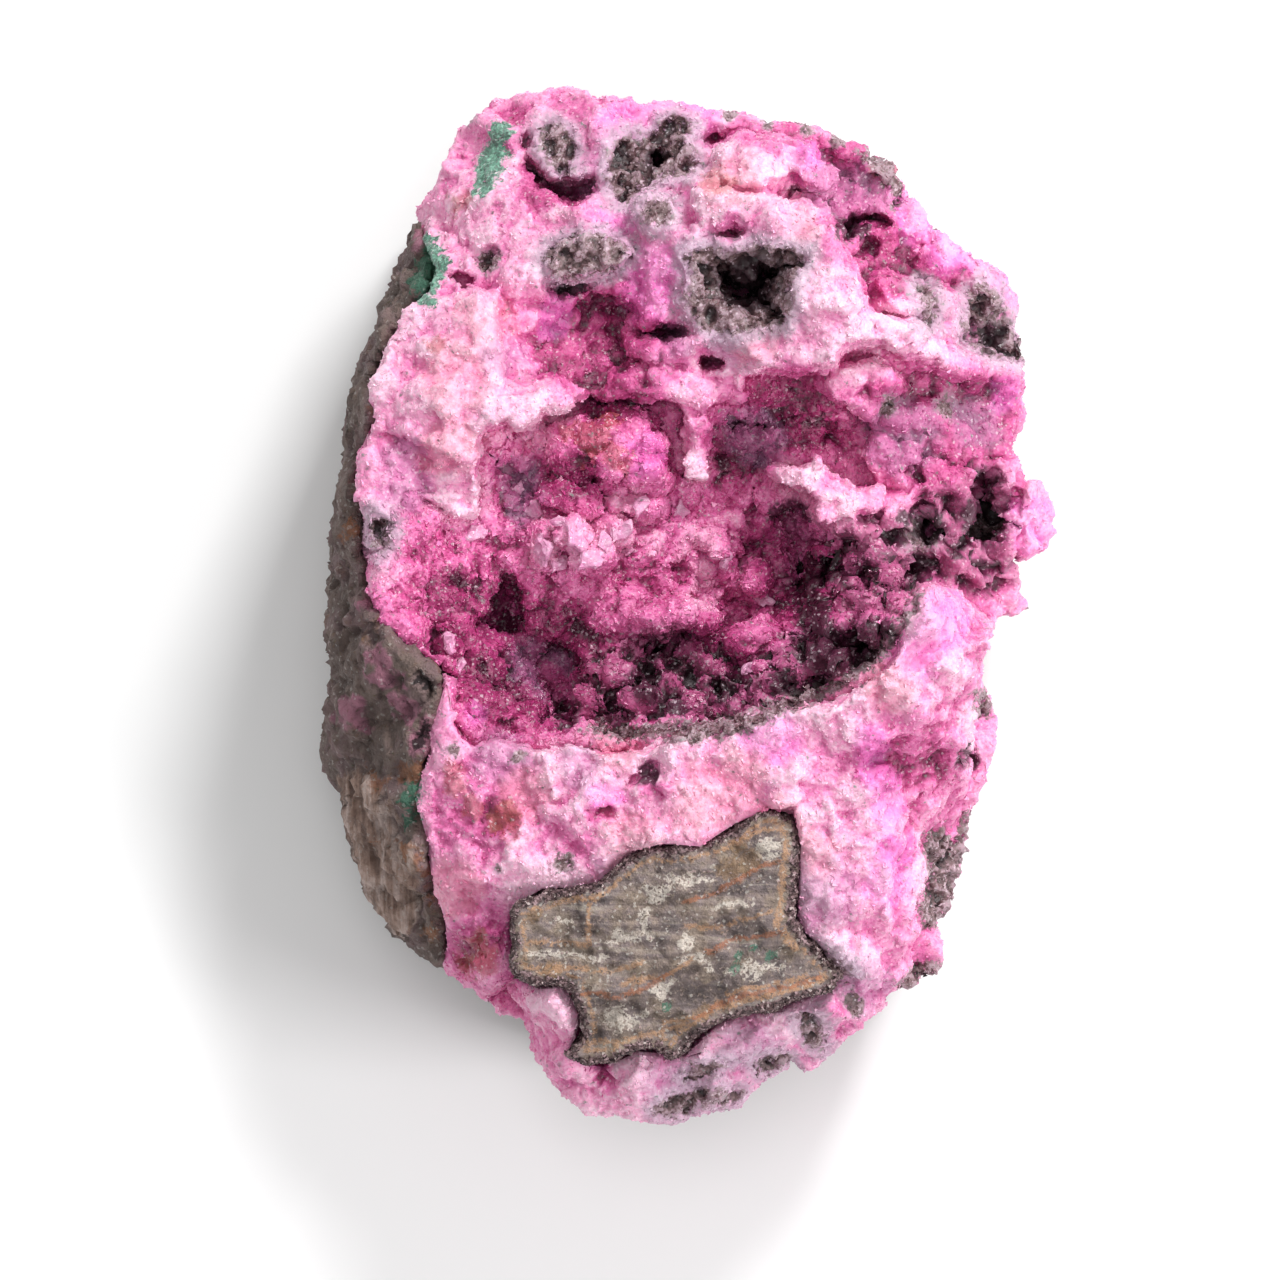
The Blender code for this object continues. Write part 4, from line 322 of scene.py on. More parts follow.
SPONGES = {
    "ridge sponge": [(-12.6, -8.6), (-11.0, -5.8), (-8.0, -4.6), (-6.4, -2.6), (-4.0, -2.0),
                     (-1.0, -2.4), (0.4, -4.6), (3.0, -5.6), (5.6, -8.0), (8.0, -5.0), (10.4, -3.0),
                     (14.0, -2.2), (19.4, -1.4), (20.6, -3.4), (18.0, -6.8), (13.0, -9.0), (7.0, -11.0),
                     (1.0, -12.0), (-5.0, -12.2), (-9.6, -12.8), (-12.4, -11.6)],
    "honeycomb": [(15.0, 8.0), (17.6, 9.4), (19.6, 9.8), (22.0, 9.0), (24.6, 12.4), (27.0, 12.6),
                  (29.0, 14.4), (33.4, 14.4), (34.4, 9.0), (34.2, 3.0), (33.8, -0.4), (30.8, 0.6),
                  (25.4, 3.4), (21.0, -0.8), (15.6, -0.8), (14.0, 3.0)],
}
SPECKLED = [(17, -42.2, 1.2), (-21.6, 36.4, 1.2), (8, 51.0, 0.7), (12, 50.4, 0.7), (4, 51.8, 0.7),
            (15.4, 49.6, 0.9), (-1.5, -46.6, 1.1), (-18.4, -15.8, 0.8), (-24, 52, 1), (20.8, 21, 1),
            (-20.6, -28, 0.5), (-13.6, -27.2, 1), (-25.2, -15.6, 0.9), (26.6, 21, 1.2), (24.4, 7.4, 2)]
HOLES = [(-28.3, -8.4, 0.8), (-28.3, -13.7, 0.9), (-4.9, -17.7, 0.9), (29, -16, 0.9),
         (-9.3, -22.3, 0.7), (-3.9, -4.6, 1.2), (-19.6, 1, 1.6), (-13.4, -11.4, 1.4),
         (-27.3, -3.4, 0.7), (-24.4, 34.3, 1), (22, 4, 1.2), (18, 3, 1.2), (15.6, 5.6, 1),
         (26, 3.4, 1.3), (31, 8, 1.8), (31, 12.4, 1), (-22, 36.4, 0.8), (-9.4, -49.8, 0.7),
         (13.6, 39.6, 0.8), (-12.4, 32.8, 0.9), (10.4, 42.8, 0.6), (-1.4, 3, 0.7), (6.6, 10, 0.9),
         (24, 14, 0.9)]
print("outlines:", len(ROCK_CELLS) + len(SPONGES), "holes:", len(HOLES))


# %% Paint the masks
FRONT_STARTS = (9.0, 14.0)
FRONT_IS_WHOLE = (19.0, 25.0)
SEAM_HEIGHT = 16.0


def front_only(places):
    """1 on the front and 0 near the foot, where the front's tints end."""
    return smooth(places[:, 2], *FRONT_STARTS)


def wandering(places, amount):
    """Plan places that wander a little, so that no painted edge is even."""
    x = places[:, 0] + amount * (cloud(places, 4.0, 11.0) + 0.6 * cloud(places, 1.3, 17.0))
    y = places[:, 1] + amount * (cloud(places, 4.0, 23.0) + 0.6 * cloud(places, 1.3, 29.0))
    return x, y


def paint_tints(mesh):
    """Paint every tint and the painted shade of holes on a mesh, in patches where the front turns into the
    side walls.
    """
    places = places_of(mesh)[0]
    patches = smooth(cloud(places, 6.0, 83.0), 0.0, 0.4)
    front = front_only(places) * np.maximum(smooth(places[:, 2], *FRONT_IS_WHOLE), patches)
    x, y = wandering(places, 0.9)
    for name, spots in TINTS_AND_SHADE_DABS.items():
        paint(mesh, name, dabs(spots, x, y) * front)
    x, y = wandering(places, 0.45)
    inward = np.max([depth_in(outline, x, y) for outline in ROCK_CELLS.values()], axis=0)
    rocky = np.maximum(smooth(inward, -1.1, 0.9), 0.9 * dabs(SPECKLED, x, y, 0.5)) * front
    ragged = places[:, 2] + 5.0 * cloud(places, 5.0, 89.0)
    paint(mesh, "rock", np.maximum(rocky, smooth(SEAM_HEIGHT - ragged, 0.0, 2.0)))
    pale_edged = [depth_in(ROCK_CELLS[name], x, y) for name in ROCK_CELLS if name not in SHARP_EDGED]
    halo = smooth(np.max(pale_edged, axis=0), -2.4, -0.4)
    paint(mesh, "halo", np.maximum(halo, dabs(SPECKLED, x, y, 0.8)) * front)
    sponge = np.zeros(len(x))
    for outline in SPONGES.values():
        sponge = np.maximum(sponge, smooth(depth_in(outline, x, y), -1.2, 1.4))
    paint(mesh, "sponge", sponge * front)

# %% [markdown]
# ## Helpers for materials
# A node that is used again and again, such as noise, is put down by one small function. Its inputs
# may be values or the outputs of other nodes.

# %% Put nodes down
def put(tree, kind, inputs=None, **settings):
    """Add a node, set it up, and feed its inputs with values or with other nodes' outputs."""
    node = tree.nodes.new(kind)
    for key, value in settings.items():
        setattr(node, key, value)
    for key, value in (inputs or {}).items():
        if isinstance(value, bpy.types.NodeSocket):
            tree.links.new(value, node.inputs[key])
        else:
            node.inputs[key].default_value = value
    return node


def tint(red, green, blue):
    """A colour as a painter reads it off a screen, 0 to 255, made linear for the renderer."""
    return tuple((c / 255.0) ** 2.2 for c in (red, green, blue)) + (1.0,)


def mixed(tree, share, first, second):
    """The output of a colour mix."""
    return put(tree, "ShaderNodeMix", {0: share, 6: first, 7: second}, data_type="RGBA").outputs[2]


def maths(tree, operation, *values, clamp=False):
    """The output of a maths node."""
    node = put(tree, "ShaderNodeMath", dict(enumerate(values)), operation=operation, use_clamp=clamp)
    return node.outputs[0]


def swing(tree, value, amount):
    """A value from 0 to 1 turned into a swing about 0."""
    return maths(tree, "MULTIPLY", maths(tree, "SUBTRACT", value, 0.5), amount)


def ramp(tree, value, stops):
    """A colour ramp with stops of (place, colour)."""
    node = put(tree, "ShaderNodeValToRGB", {"Fac": value})
    while len(node.color_ramp.elements) < len(stops):
        node.color_ramp.elements.new(0.5)
    for element, (place, colour) in zip(node.color_ramp.elements, stops):
        element.position = place
        element.color = colour
    return node.outputs["Color"]


def new_group(name, inputs, outputs):
    """A node group with named inputs (name, start value) and outputs (name, socket type)."""
    tree = bpy.data.node_groups.new(name, "ShaderNodeTree")
    for label, start in inputs:
        socket = tree.interface.new_socket(label, in_out="INPUT", socket_type="NodeSocketFloat")
        socket.default_value = start
    for label, kind in outputs:
        tree.interface.new_socket(label, in_out="OUTPUT", socket_type=kind)
    return tree, put(tree, "NodeGroupInput"), put(tree, "NodeGroupOutput")


def use(tree, group, **inputs):
    """Put a node group down and feed its inputs; an underscore in a name stands for a space."""
    return put(tree, "ShaderNodeGroup", {name.replace("_", " "): value for name, value in inputs.items()},
               node_tree=group)


def fine_scale(tree, size):
    """Object coordinates, and the texture scale for a pattern of a size in millimetres."""
    where = put(tree, "ShaderNodeTexCoord").outputs["Object"]
    return where, maths(tree, "DIVIDE", 1000.0, size)

# %% [markdown]
# ## Effects that several finishes share
# Real crystal crusts glitter because each tiny face tilts its own way. The first group gives every
# cell of a Voronoi pattern a normal of its own. The second breaks up the soft edge of a mask
# with noise. The third is the soft change of tint that no natural surface is without.

# %% Group: crystal faces
def build_crystal_faces():
    """Normals of countless small crystal faces, and a random value for each."""
    tree, given, result = new_group("Crystal faces", [("Size mm", 0.4), ("Tilt", 0.5)],
                                    [("Normal", "NodeSocketVector"), ("Flash", "NodeSocketFloat")])
    where, scale = fine_scale(tree, given.outputs["Size mm"])
    cells = put(tree, "ShaderNodeTexVoronoi", {"Vector": where, "Scale": scale})
    centred = put(tree, "ShaderNodeVectorMath", {0: cells.outputs["Color"], 1: (0.5, 0.5, 0.5)},
                  operation="SUBTRACT")
    tilted = put(tree, "ShaderNodeVectorMath", {0: centred.outputs[0], "Scale": given.outputs["Tilt"]},
                 operation="SCALE")
    normal = put(tree, "ShaderNodeNewGeometry").outputs["Normal"]
    added = put(tree, "ShaderNodeVectorMath", {0: normal, 1: tilted.outputs[0]}, operation="ADD")
    made = put(tree, "ShaderNodeVectorMath", {0: added.outputs[0]}, operation="NORMALIZE")
    tree.links.new(made.outputs[0], result.inputs["Normal"])
    parts = put(tree, "ShaderNodeSeparateColor", {0: cells.outputs["Color"]})
    tree.links.new(parts.outputs[0], result.inputs["Flash"])
    return tree


CRYSTAL_FACES = build_crystal_faces()

# %% Group: broken edge
def build_broken_edge():
    """A soft mask made crisp, with an edge that a noise from 0 to 1 breaks up."""
    sockets = [("Mask", 0.0), ("Noise", 0.5), ("Break", 0.5), ("Crisp", 4.0)]
    tree, given, result = new_group("Broken edge", sockets, [("Mask", "NodeSocketFloat")])
    broken = maths(tree, "MULTIPLY", swing(tree, given.outputs["Noise"], 2.0), given.outputs["Break"])
    value = maths(tree, "ADD", given.outputs["Mask"], broken)
    steep = swing(tree, value, given.outputs["Crisp"])
    tree.links.new(maths(tree, "ADD", steep, 0.5, clamp=True), result.inputs["Mask"])
    return tree


BROKEN_EDGE = build_broken_edge()

# %% Group: cloudy change
def build_cloudy_change():
    """Soft change from 0 to 1, at a size in millimetres."""
    tree, given, result = new_group("Cloudy change", [("Size mm", 3.0), ("Contrast", 1.0)],
                                    [("Value", "NodeSocketFloat")])
    where, scale = fine_scale(tree, given.outputs["Size mm"])
    grain = put(tree, "ShaderNodeTexNoise",
                {"Vector": where, "Scale": scale, "Detail": 5.0, "Roughness": 0.6})
    moved = swing(tree, grain.outputs["Fac"], given.outputs["Contrast"])
    tree.links.new(maths(tree, "ADD", moved, 0.5, clamp=True), result.inputs["Value"])
    return tree


CLOUDY_CHANGE = build_cloudy_change()
print("node groups:", [group.name for group in (CRYSTAL_FACES, BROKEN_EDGE, CLOUDY_CHANGE)])

# %% [markdown]
# ## Finishes
# Every finish here starts with a Principled shader and ends with a colour, a roughness and a bumped
# normal. These few helpers do both, read a painted mask, and paint a few crystal faces pale as glints.

# %% Start a finish and end it
GLINTING_SHARE = 0.96


def new_finish(name):
    """A new material, its node tree and its Principled shader."""
    material = bpy.data.materials.new(name)
    material.use_nodes = True
    return material, material.node_tree, material.node_tree.nodes["Principled BSDF"]


def glinting(tree, colour, flash, share, sparkle):
    """A colour with painted glints: the few crystal faces with the highest random value are painted pale.
    """
    lit = maths(tree, "MULTIPLY", maths(tree, "GREATER_THAN", flash, GLINTING_SHARE), share)
    return mixed(tree, lit, colour, sparkle)


def end_finish(tree, shader, colour, roughness, **bump):
    """Feed the shader with a colour, a roughness and the normal of a bump."""
    tree.links.new(colour, shader.inputs["Base Color"])
    tree.links.new(roughness, shader.inputs["Roughness"])
    tree.links.new(put(tree, "ShaderNodeBump", bump).outputs["Normal"], shader.inputs["Normal"])


def painted(tree, name):
    """A painted mask as it is."""
    return put(tree, "ShaderNodeAttribute", attribute_name=name).outputs["Fac"]


def mask_of(tree, name, grain, broken, crisp, share=1.0):
    """A painted mask whose edge a noise breaks up, at a share of its full strength."""
    edge = use(tree, BROKEN_EDGE, Mask=painted(tree, name), Noise=grain, Break=broken, Crisp=crisp)
    return maths(tree, "MULTIPLY", edge.outputs["Mask"], share)

# %% [markdown]
# ## Pink calcite
# Cobalt colours the calcite. Light goes a little way into it, so it glows rather than shines, and
# its small cleaved faces flash. Each tint could have a material of its own, but the real tints fade
# into one another, so one material runs from nearly white to deep magenta and lays the stains,
# the rock cells and the malachite over that by their masks. It is made four times, because
# the crust in the hollow is deeper, and crystals are smoother than the mass they grow on.

# %% Finish: pink calcite
PINKS = [(0.0, tint(246, 198, 220)), (0.2, tint(240, 160, 198)), (0.4, tint(224, 114, 171)),
         (0.6, tint(190, 70, 130)), (0.8, tint(138, 42, 88)), (1.0, tint(80, 20, 50))]
SOFT_STAINS = [("vivid", 0.4, tint(242, 118, 206)), ("lilac", 0.45, tint(176, 122, 162)),
               ("salmon", 0.4, tint(238, 150, 168))]
MAROONS = [(0.0, tint(176, 84, 128)), (0.35, tint(126, 62, 90)), (0.65, tint(82, 44, 58)),
           (1.0, tint(40, 18, 28))]
ROCK_SPECKS = [(0.2, tint(44, 28, 32)), (0.42, tint(90, 65, 67)), (0.62, tint(118, 91, 94)),
               (0.85, tint(163, 135, 145))]
MALACHITE_GREENS = [(0.0, tint(26, 92, 72)), (0.6, tint(58, 140, 112)), (1.0, tint(120, 186, 158))]
RUST_BROWN = tint(176, 88, 66)
RIM_LILAC = tint(190, 166, 184)
# Painted shade: near-black tints that the materials lay in holes, recesses and pits.
RECESS_SHADE_TINT = tint(42, 17, 28)
PIT_SHADE_TINT = tint(40, 17, 28)
# Painted glint: the pale tint given to a few random crystal faces.
SPARKLE_PINK = tint(252, 228, 240)


def build_pink_calcite(name, base, face_size, tilt, roughness, glow):
    """Pink calcite whose middle tint is base, from 0 for nearly white to 1 for deep magenta."""
    material, tree, shader = new_finish(name)
    soft = use(tree, CLOUDY_CHANGE, Size_mm=5.0, Contrast=1.0).outputs["Value"]
    coarse = use(tree, CLOUDY_CHANGE, Size_mm=1.8, Contrast=1.2).outputs["Value"]
    fine = use(tree, CLOUDY_CHANGE, Size_mm=0.7, Contrast=1.3).outputs["Value"]
    faces = use(tree, CRYSTAL_FACES, Size_mm=face_size, Tilt=tilt)
    flash = faces.outputs["Flash"]
    grain = use(tree, CRYSTAL_FACES, Size_mm=0.24, Tilt=0.0).outputs["Flash"]
    # Painted shade: the crease mask deepens the pink in creases and pales it on tops, and darkens maroon
    # and rock specks there.
    crease_shade = painted(tree, "crease_shade")
    depth = maths(tree, "ADD", base, swing(tree, soft, 0.3))
    for part in (swing(tree, fine, 0.26), swing(tree, grain, 0.14),
                 mask_of(tree, "pale", coarse, 0.35, 1.3, -0.2),
                 mask_of(tree, "deep", coarse, 0.35, 1.3, 0.32),
                 swing(tree, crease_shade, 0.38)):
        depth = maths(tree, "ADD", depth, part)
    colour = ramp(tree, depth, PINKS)
    for stain, share, stain_tint in SOFT_STAINS:
        colour = mixed(tree, mask_of(tree, stain, coarse, 0.4, 1.4, share), colour, stain_tint)
    colour = mixed(tree, mask_of(tree, "rust", fine, 0.6, 1.6, 0.5), colour, RUST_BROWN)
    maroon = ramp(tree, maths(tree, "ADD", crease_shade, swing(tree, flash, 0.5)), MAROONS)
    colour = mixed(tree, mask_of(tree, "sponge", coarse, 0.8, 1.8, 0.8), colour, maroon)
    colour = mixed(tree, mask_of(tree, "halo", fine, 0.6, 1.2, 0.8), colour, RIM_LILAC)
    mottle = maths(tree, "ADD", fine, swing(tree, flash, 0.35))
    speck = ramp(tree, maths(tree, "ADD", mottle, swing(tree, crease_shade, -0.5)), ROCK_SPECKS)
    colour = mixed(tree, mask_of(tree, "rock", fine, 0.9, 3.0), colour, speck)
    green = ramp(tree, grain, MALACHITE_GREENS)
    colour = mixed(tree, mask_of(tree, "green", fine, 0.9, 3.0, 0.9), colour, green)
    # Painted shade: holes and recesses, then the deep spots of pits, are painted nearly black.
    colour = mixed(tree, mask_of(tree, "dark", fine, 0.5, 1.6, 0.85), colour, RECESS_SHADE_TINT)
    colour = mixed(tree, maths(tree, "MULTIPLY", painted(tree, "pit_shade"), 0.85), colour, PIT_SHADE_TINT)
    # Painted glints: a few random crystal faces are painted pale pink.
    colour = glinting(tree, colour, grain, 0.35, SPARKLE_PINK)
    end_finish(tree, shader, colour, maths(tree, "ADD", roughness, swing(tree, flash, 0.36)),
               Height=fine, Strength=0.5, Distance=0.0003, Normal=faces.outputs["Normal"])
    shader.inputs["IOR"].default_value = 1.6
    shader.inputs["Subsurface Weight"].default_value = glow
    shader.inputs["Subsurface Radius"].default_value = (1.0, 0.35, 0.6)
    shader.inputs["Subsurface Scale"].default_value = 0.0008
    return material


CALCITE = build_pink_calcite("pink calcite", 0.44, 0.4, 0.5, 0.45, 0.15)
CALCITE_CRYSTAL = build_pink_calcite("pink calcite crystals", 0.40, 0.3, 0.15, 0.32, 0.0)
DRUSE = build_pink_calcite("pink druse", 0.62, 0.4, 0.6, 0.4, 0.15)
DRUSE_CRYSTAL = build_pink_calcite("pink druse crystals", 0.59, 0.3, 0.15, 0.28, 0.0)

# %% [markdown]
# ## Host rock
# The rock that the calcite grew on is grey-brown and streaked along the flank. Low on that flank
# stand columns of pale calcite, stained orange across the middle. The streaks are one noise that
# is squeezed across the flank and drawn out along it, which is simpler than drawing each of them.

# %% Finish: host rock
FLANK_BROWNS = [(0.2, tint(104, 88, 84)), (0.45, tint(136, 116, 108)), (0.65, tint(150, 122, 124)),
                (0.85, tint(150, 112, 84))]
COLUMN_PALES = [(0.36, tint(112, 86, 74)), (0.5, tint(172, 142, 128)), (0.64, tint(214, 190, 182))]
# Painted shade: the last entry, dark, paints holes on the flank nearly black; the rest are stains.
FLANK_STAINS_AND_SHADE = [("blush", "coarse", 0.6, 2.0, 0.75, tint(176, 112, 136)),
                ("stain", "fine", 0.9, 2.0, 0.6, tint(158, 100, 62)),
                ("green", "fine", 0.8, 3.0, 0.8, tint(50, 112, 90)),
                ("dark", "fine", 0.6, 3.0, 0.9, tint(26, 18, 22))]


def build_host_rock():
    """Grey-brown streaked rock with brown stains, pale columns and pink lenses."""
    material, tree, shader = new_finish("host rock")
    soft = use(tree, CLOUDY_CHANGE, Size_mm=5.0, Contrast=1.5).outputs["Value"]
    noises = {"coarse": use(tree, CLOUDY_CHANGE, Size_mm=1.4, Contrast=1.3).outputs["Value"],
              "fine": use(tree, CLOUDY_CHANGE, Size_mm=0.6, Contrast=1.5).outputs["Value"]}
    fine = noises["fine"]
    where = put(tree, "ShaderNodeTexCoord").outputs["Object"]
    stretched = put(tree, "ShaderNodeMapping",
                    {"Vector": where, "Rotation": (0, 0, 0.08), "Scale": (1100, 80, 300)})
    streaks = put(tree, "ShaderNodeTexNoise", {"Vector": stretched.outputs[0], "Scale": 1.0, "Detail": 4.0})
    flash = use(tree, CRYSTAL_FACES, Size_mm=0.3, Tilt=0.4)
    colour = ramp(tree, soft, FLANK_BROWNS)
    colour = mixed(tree, maths(tree, "MULTIPLY", streaks.outputs["Fac"], 0.6), colour, tint(60, 52, 50))
    colour = mixed(tree, mask_of(tree, "column", noises["coarse"], 0.5, 2.0, 0.9), colour,
                   ramp(tree, streaks.outputs["Fac"], COLUMN_PALES))
    # Stains and malachite, then painted shade in the holes.
    for stain, noise_name, broken, crisp, share, stain_tint in FLANK_STAINS_AND_SHADE:
        mask = mask_of(tree, stain, noises[noise_name], broken, crisp, share)
        colour = mixed(tree, mask, colour, stain_tint)
    colour = mixed(tree, maths(tree, "MULTIPLY", swing(tree, fine, 1.0), 0.7), colour, tint(44, 36, 34))
    # Painted glints: a few random crystal faces are painted pale grey.
    colour = glinting(tree, colour, flash.outputs["Flash"], 0.3, tint(210, 204, 200))
    # Painted shade: creases are darkened towards dark brown.
    colour = mixed(tree, maths(tree, "MULTIPLY", painted(tree, "crease_shade"), 0.55), colour, tint(44, 32, 32))
    end_finish(tree, shader, colour, maths(tree, "ADD", 0.55, maths(tree, "MULTIPLY", fine, 0.3)),
               Height=maths(tree, "ADD", fine, streaks.outputs["Fac"]), Strength=0.9, Distance=0.0007,
               Normal=flash.outputs["Normal"])
    return material


HOST_ROCK = build_host_rock()

# %% [markdown]
# ## Banded rock
# The fragment was torn from layered rock. Its layers still show as tan and orange lines, and
# a dark crust with a tan line inside runs round it. A wave texture would band it too evenly, so
# the faint layers are a drawn-out noise and the clear ones are lines given point by point.

# %% Finish: banded rock
FRAGMENT_GREYS = [(0.15, tint(98, 92, 96)), (0.45, tint(142, 126, 124)), (0.7, tint(156, 138, 122)),
                  (0.9, tint(184, 170, 158))]
CRUST_BROWNS = [(0.1, tint(52, 36, 40)), (0.6, tint(92, 70, 70)), (1.0, tint(164, 136, 140))]
FRAGMENT_LINES = [("white", 1.4, 2.6, 0.9, tint(224, 212, 200)),
                  ("amber", 1.0, 1.6, 0.45, tint(150, 112, 60)),
                  ("tan", 1.0, 2.0, 0.8, tint(190, 146, 112)),
                  ("orange", 1.0, 2.0, 0.7, tint(172, 108, 76)),
                  ("green", 1.2, 3.0, 0.7, tint(48, 122, 98))]


def build_banded_rock():
    """Grey-brown rock with thin tan and orange lines, and a dark crust round it."""
    material, tree, shader = new_finish("banded rock")
    fine = use(tree, CLOUDY_CHANGE, Size_mm=0.5, Contrast=1.5).outputs["Value"]
    soft = use(tree, CLOUDY_CHANGE, Size_mm=3.0, Contrast=1.6).outputs["Value"]
    where = put(tree, "ShaderNodeTexCoord").outputs["Object"]
    stretched = put(tree, "ShaderNodeMapping",
                    {"Vector": where, "Rotation": (0, 0, -0.17), "Scale": (120, 1100, 400)})
    layers = put(tree, "ShaderNodeTexNoise", {"Vector": stretched.outputs[0], "Scale": 1.0, "Detail": 5.0})
    faces = use(tree, CRYSTAL_FACES, Size_mm=0.26, Tilt=0.5)
    grain = faces.outputs["Flash"]
    layer = layers.outputs["Fac"]
    colour = ramp(tree, soft, FRAGMENT_GREYS)
    dark_layer = ramp(tree, layer, [(0.45, (0, 0, 0, 1)), (0.6, (1, 1, 1, 1))])
    colour = mixed(tree, maths(tree, "MULTIPLY", dark_layer, 0.55), colour, tint(70, 58, 54))
    pale_layer = ramp(tree, maths(tree, "ADD", layer, swing(tree, soft, 0.3)),
                      [(0.3, (1, 1, 1, 1)), (0.42, (0, 0, 0, 1))])
    colour = mixed(tree, maths(tree, "MULTIPLY", pale_layer, 0.6), colour, tint(190, 176, 160))
    for line, broken, crisp, share, line_tint in FRAGMENT_LINES:
        colour = mixed(tree, mask_of(tree, line, fine, broken, crisp, share), colour, line_tint)
    colour = mixed(tree, maths(tree, "MULTIPLY", swing(tree, grain, 1.0), 0.7), colour, tint(64, 54, 52))
    colour = mixed(tree, maths(tree, "MULTIPLY", maths(tree, "GREATER_THAN", fine, 0.72), 0.5), colour,
                   tint(196, 184, 170))
    # Painted shade: creases are darkened towards dark brown.
    colour = mixed(tree, maths(tree, "MULTIPLY", painted(tree, "crease_shade"), 0.4), colour, tint(60, 48, 46))
    crust = ramp(tree, maths(tree, "ADD", grain, swing(tree, fine, 0.6)), CRUST_BROWNS)
    colour = mixed(tree, mask_of(tree, "rim", fine, 1.2, 2.4), colour, crust)
    # Painted glints: a few random crystal faces are painted pale grey.
    colour = glinting(tree, colour, grain, 0.35, tint(220, 214, 204))
    end_finish(tree, shader, colour, maths(tree, "ADD", 0.42, maths(tree, "MULTIPLY", fine, 0.35)),
               Height=maths(tree, "ADD", fine, layer), Strength=0.7, Distance=0.0004,
               Normal=faces.outputs["Normal"])
    return material


BANDED_ROCK = build_banded_rock()

# %% [markdown]
# ## Rough surfaces
# A fine skin is laid over each solid. Then its edges are made to wander, knobs of three sizes rise
# from it, and crystal faces break it up. The sponges, where rock has dissolved between crystals, get
# pits instead of knobs. All lengths are in millimetres.

# %% Push the skin about
SPONGE_GRAIN, SPONGE_PIT, SPONGE_RISE = 2.6, 2.6, 0.8
CELL_GRAIN, CELL_PIT, CELL_RISE = 1.5, 1.1, 0.3
PIT_WALL = (0.72, 0.95)
HOLE_DEPTH = 1.8


def dress(item, node, material):
    """Give a piece its material, hang it under the root, and hide the solid that it stands in for."""
    item.data.materials.clear()
    item.data.materials.append(material)
    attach(item, "root")
    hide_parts(node)


def area_mask(places, outlines, edge):
    """1 inside any of the outlines, with an edge of this softness."""
    x, y = wandering(places, 0.45)
    inward = np.max([depth_in(outline, x, y) for outline in outlines.values()], axis=0)
    return smooth(inward, -edge, edge) * front_only(places)


def roughen(item, wander, rounded, broken, swell=0.0, lined=None):
    """Make edges wander, then raise rounded knobs and broken faces, each (size, height)."""
    mesh = item.data
    places, normals = places_of(mesh)
    base = smooth(places[:, 2], 0.3, 2.0)
    sponge = area_mask(places, SPONGES, 1.0)
    rocky = area_mask(places, ROCK_CELLS, 0.7)
    x, y = wandering(places, 0.9)
    knobby = 1.0 if lined is None else 0.25 + 1.1 * dabs(lined, x, y, 0.6)
    drift = sum(np.stack([cloud(places, size, seed) for seed in (31.0, 37.0, 41.0)], axis=1) * share
                for size, share in ((2.4, 1.0), (1.0, 0.5)))
    places = places + wander * drift * base[:, None]
    uneven = 1.0 + 0.5 * cloud(places, 7.0, 47.0)
    push = swell + sum(height * uneven * knobby * (knobs(places, size, 3.0 + size) - 0.75)
                       for size, height in rounded)
    push = push + sum(height * uneven * crystal_faces(places, size, 9.0 + size) for size, height in broken)
    push -= sponge * (SPONGE_PIT * smooth(knobs(places, SPONGE_GRAIN, 53.0), *PIT_WALL) - SPONGE_RISE)
    push -= HOLE_DEPTH * dabs(HOLES, x, y, 0.5) * smooth(places[:, 2], 14.0, 18.0)
    push -= rocky * (CELL_PIT * smooth(knobs(places, CELL_GRAIN, 57.0), *PIT_WALL) - CELL_RISE)
    set_places(mesh, places + normals * (push * base)[:, None])


def paint_relief(mesh):
    """Paint shade by how deep each corner lies below the evened skin, and darker shade in the pits of
    sponges and rock cells.
    """
    places = places_of(mesh)[0]
    below = hollows(mesh, 40)
    # Painted shade: the materials darken each corner by how deep it lies below the evened skin.
    paint(mesh, "crease_shade", smooth(below, -0.45, 0.6))
    # Painted shade: the deepest spots of sponges and rock cells are painted nearly black.
    pitted = np.maximum(area_mask(places, SPONGES, 1.0), 0.8 * area_mask(places, ROCK_CELLS, 0.7))
    paint(mesh, "pit_shade", pitted * smooth(below, 0.15, 0.75))


# %% [markdown]
# ## Sugar of crystals
# Under a lens the calcite is covered with tiny pointed crystals. They could be scattered copies of
# one crystal, but then they couldn't take the tint of the spot they stand on. So they are small
# pyramids in one mesh, each with the masks of its root, and pits and holes painted with shade get hardly
# any.

# %% Grow crystals
LEAN = 0.3
TIP, FOOT, SPREAD = 0.42, 0.35, 0.85


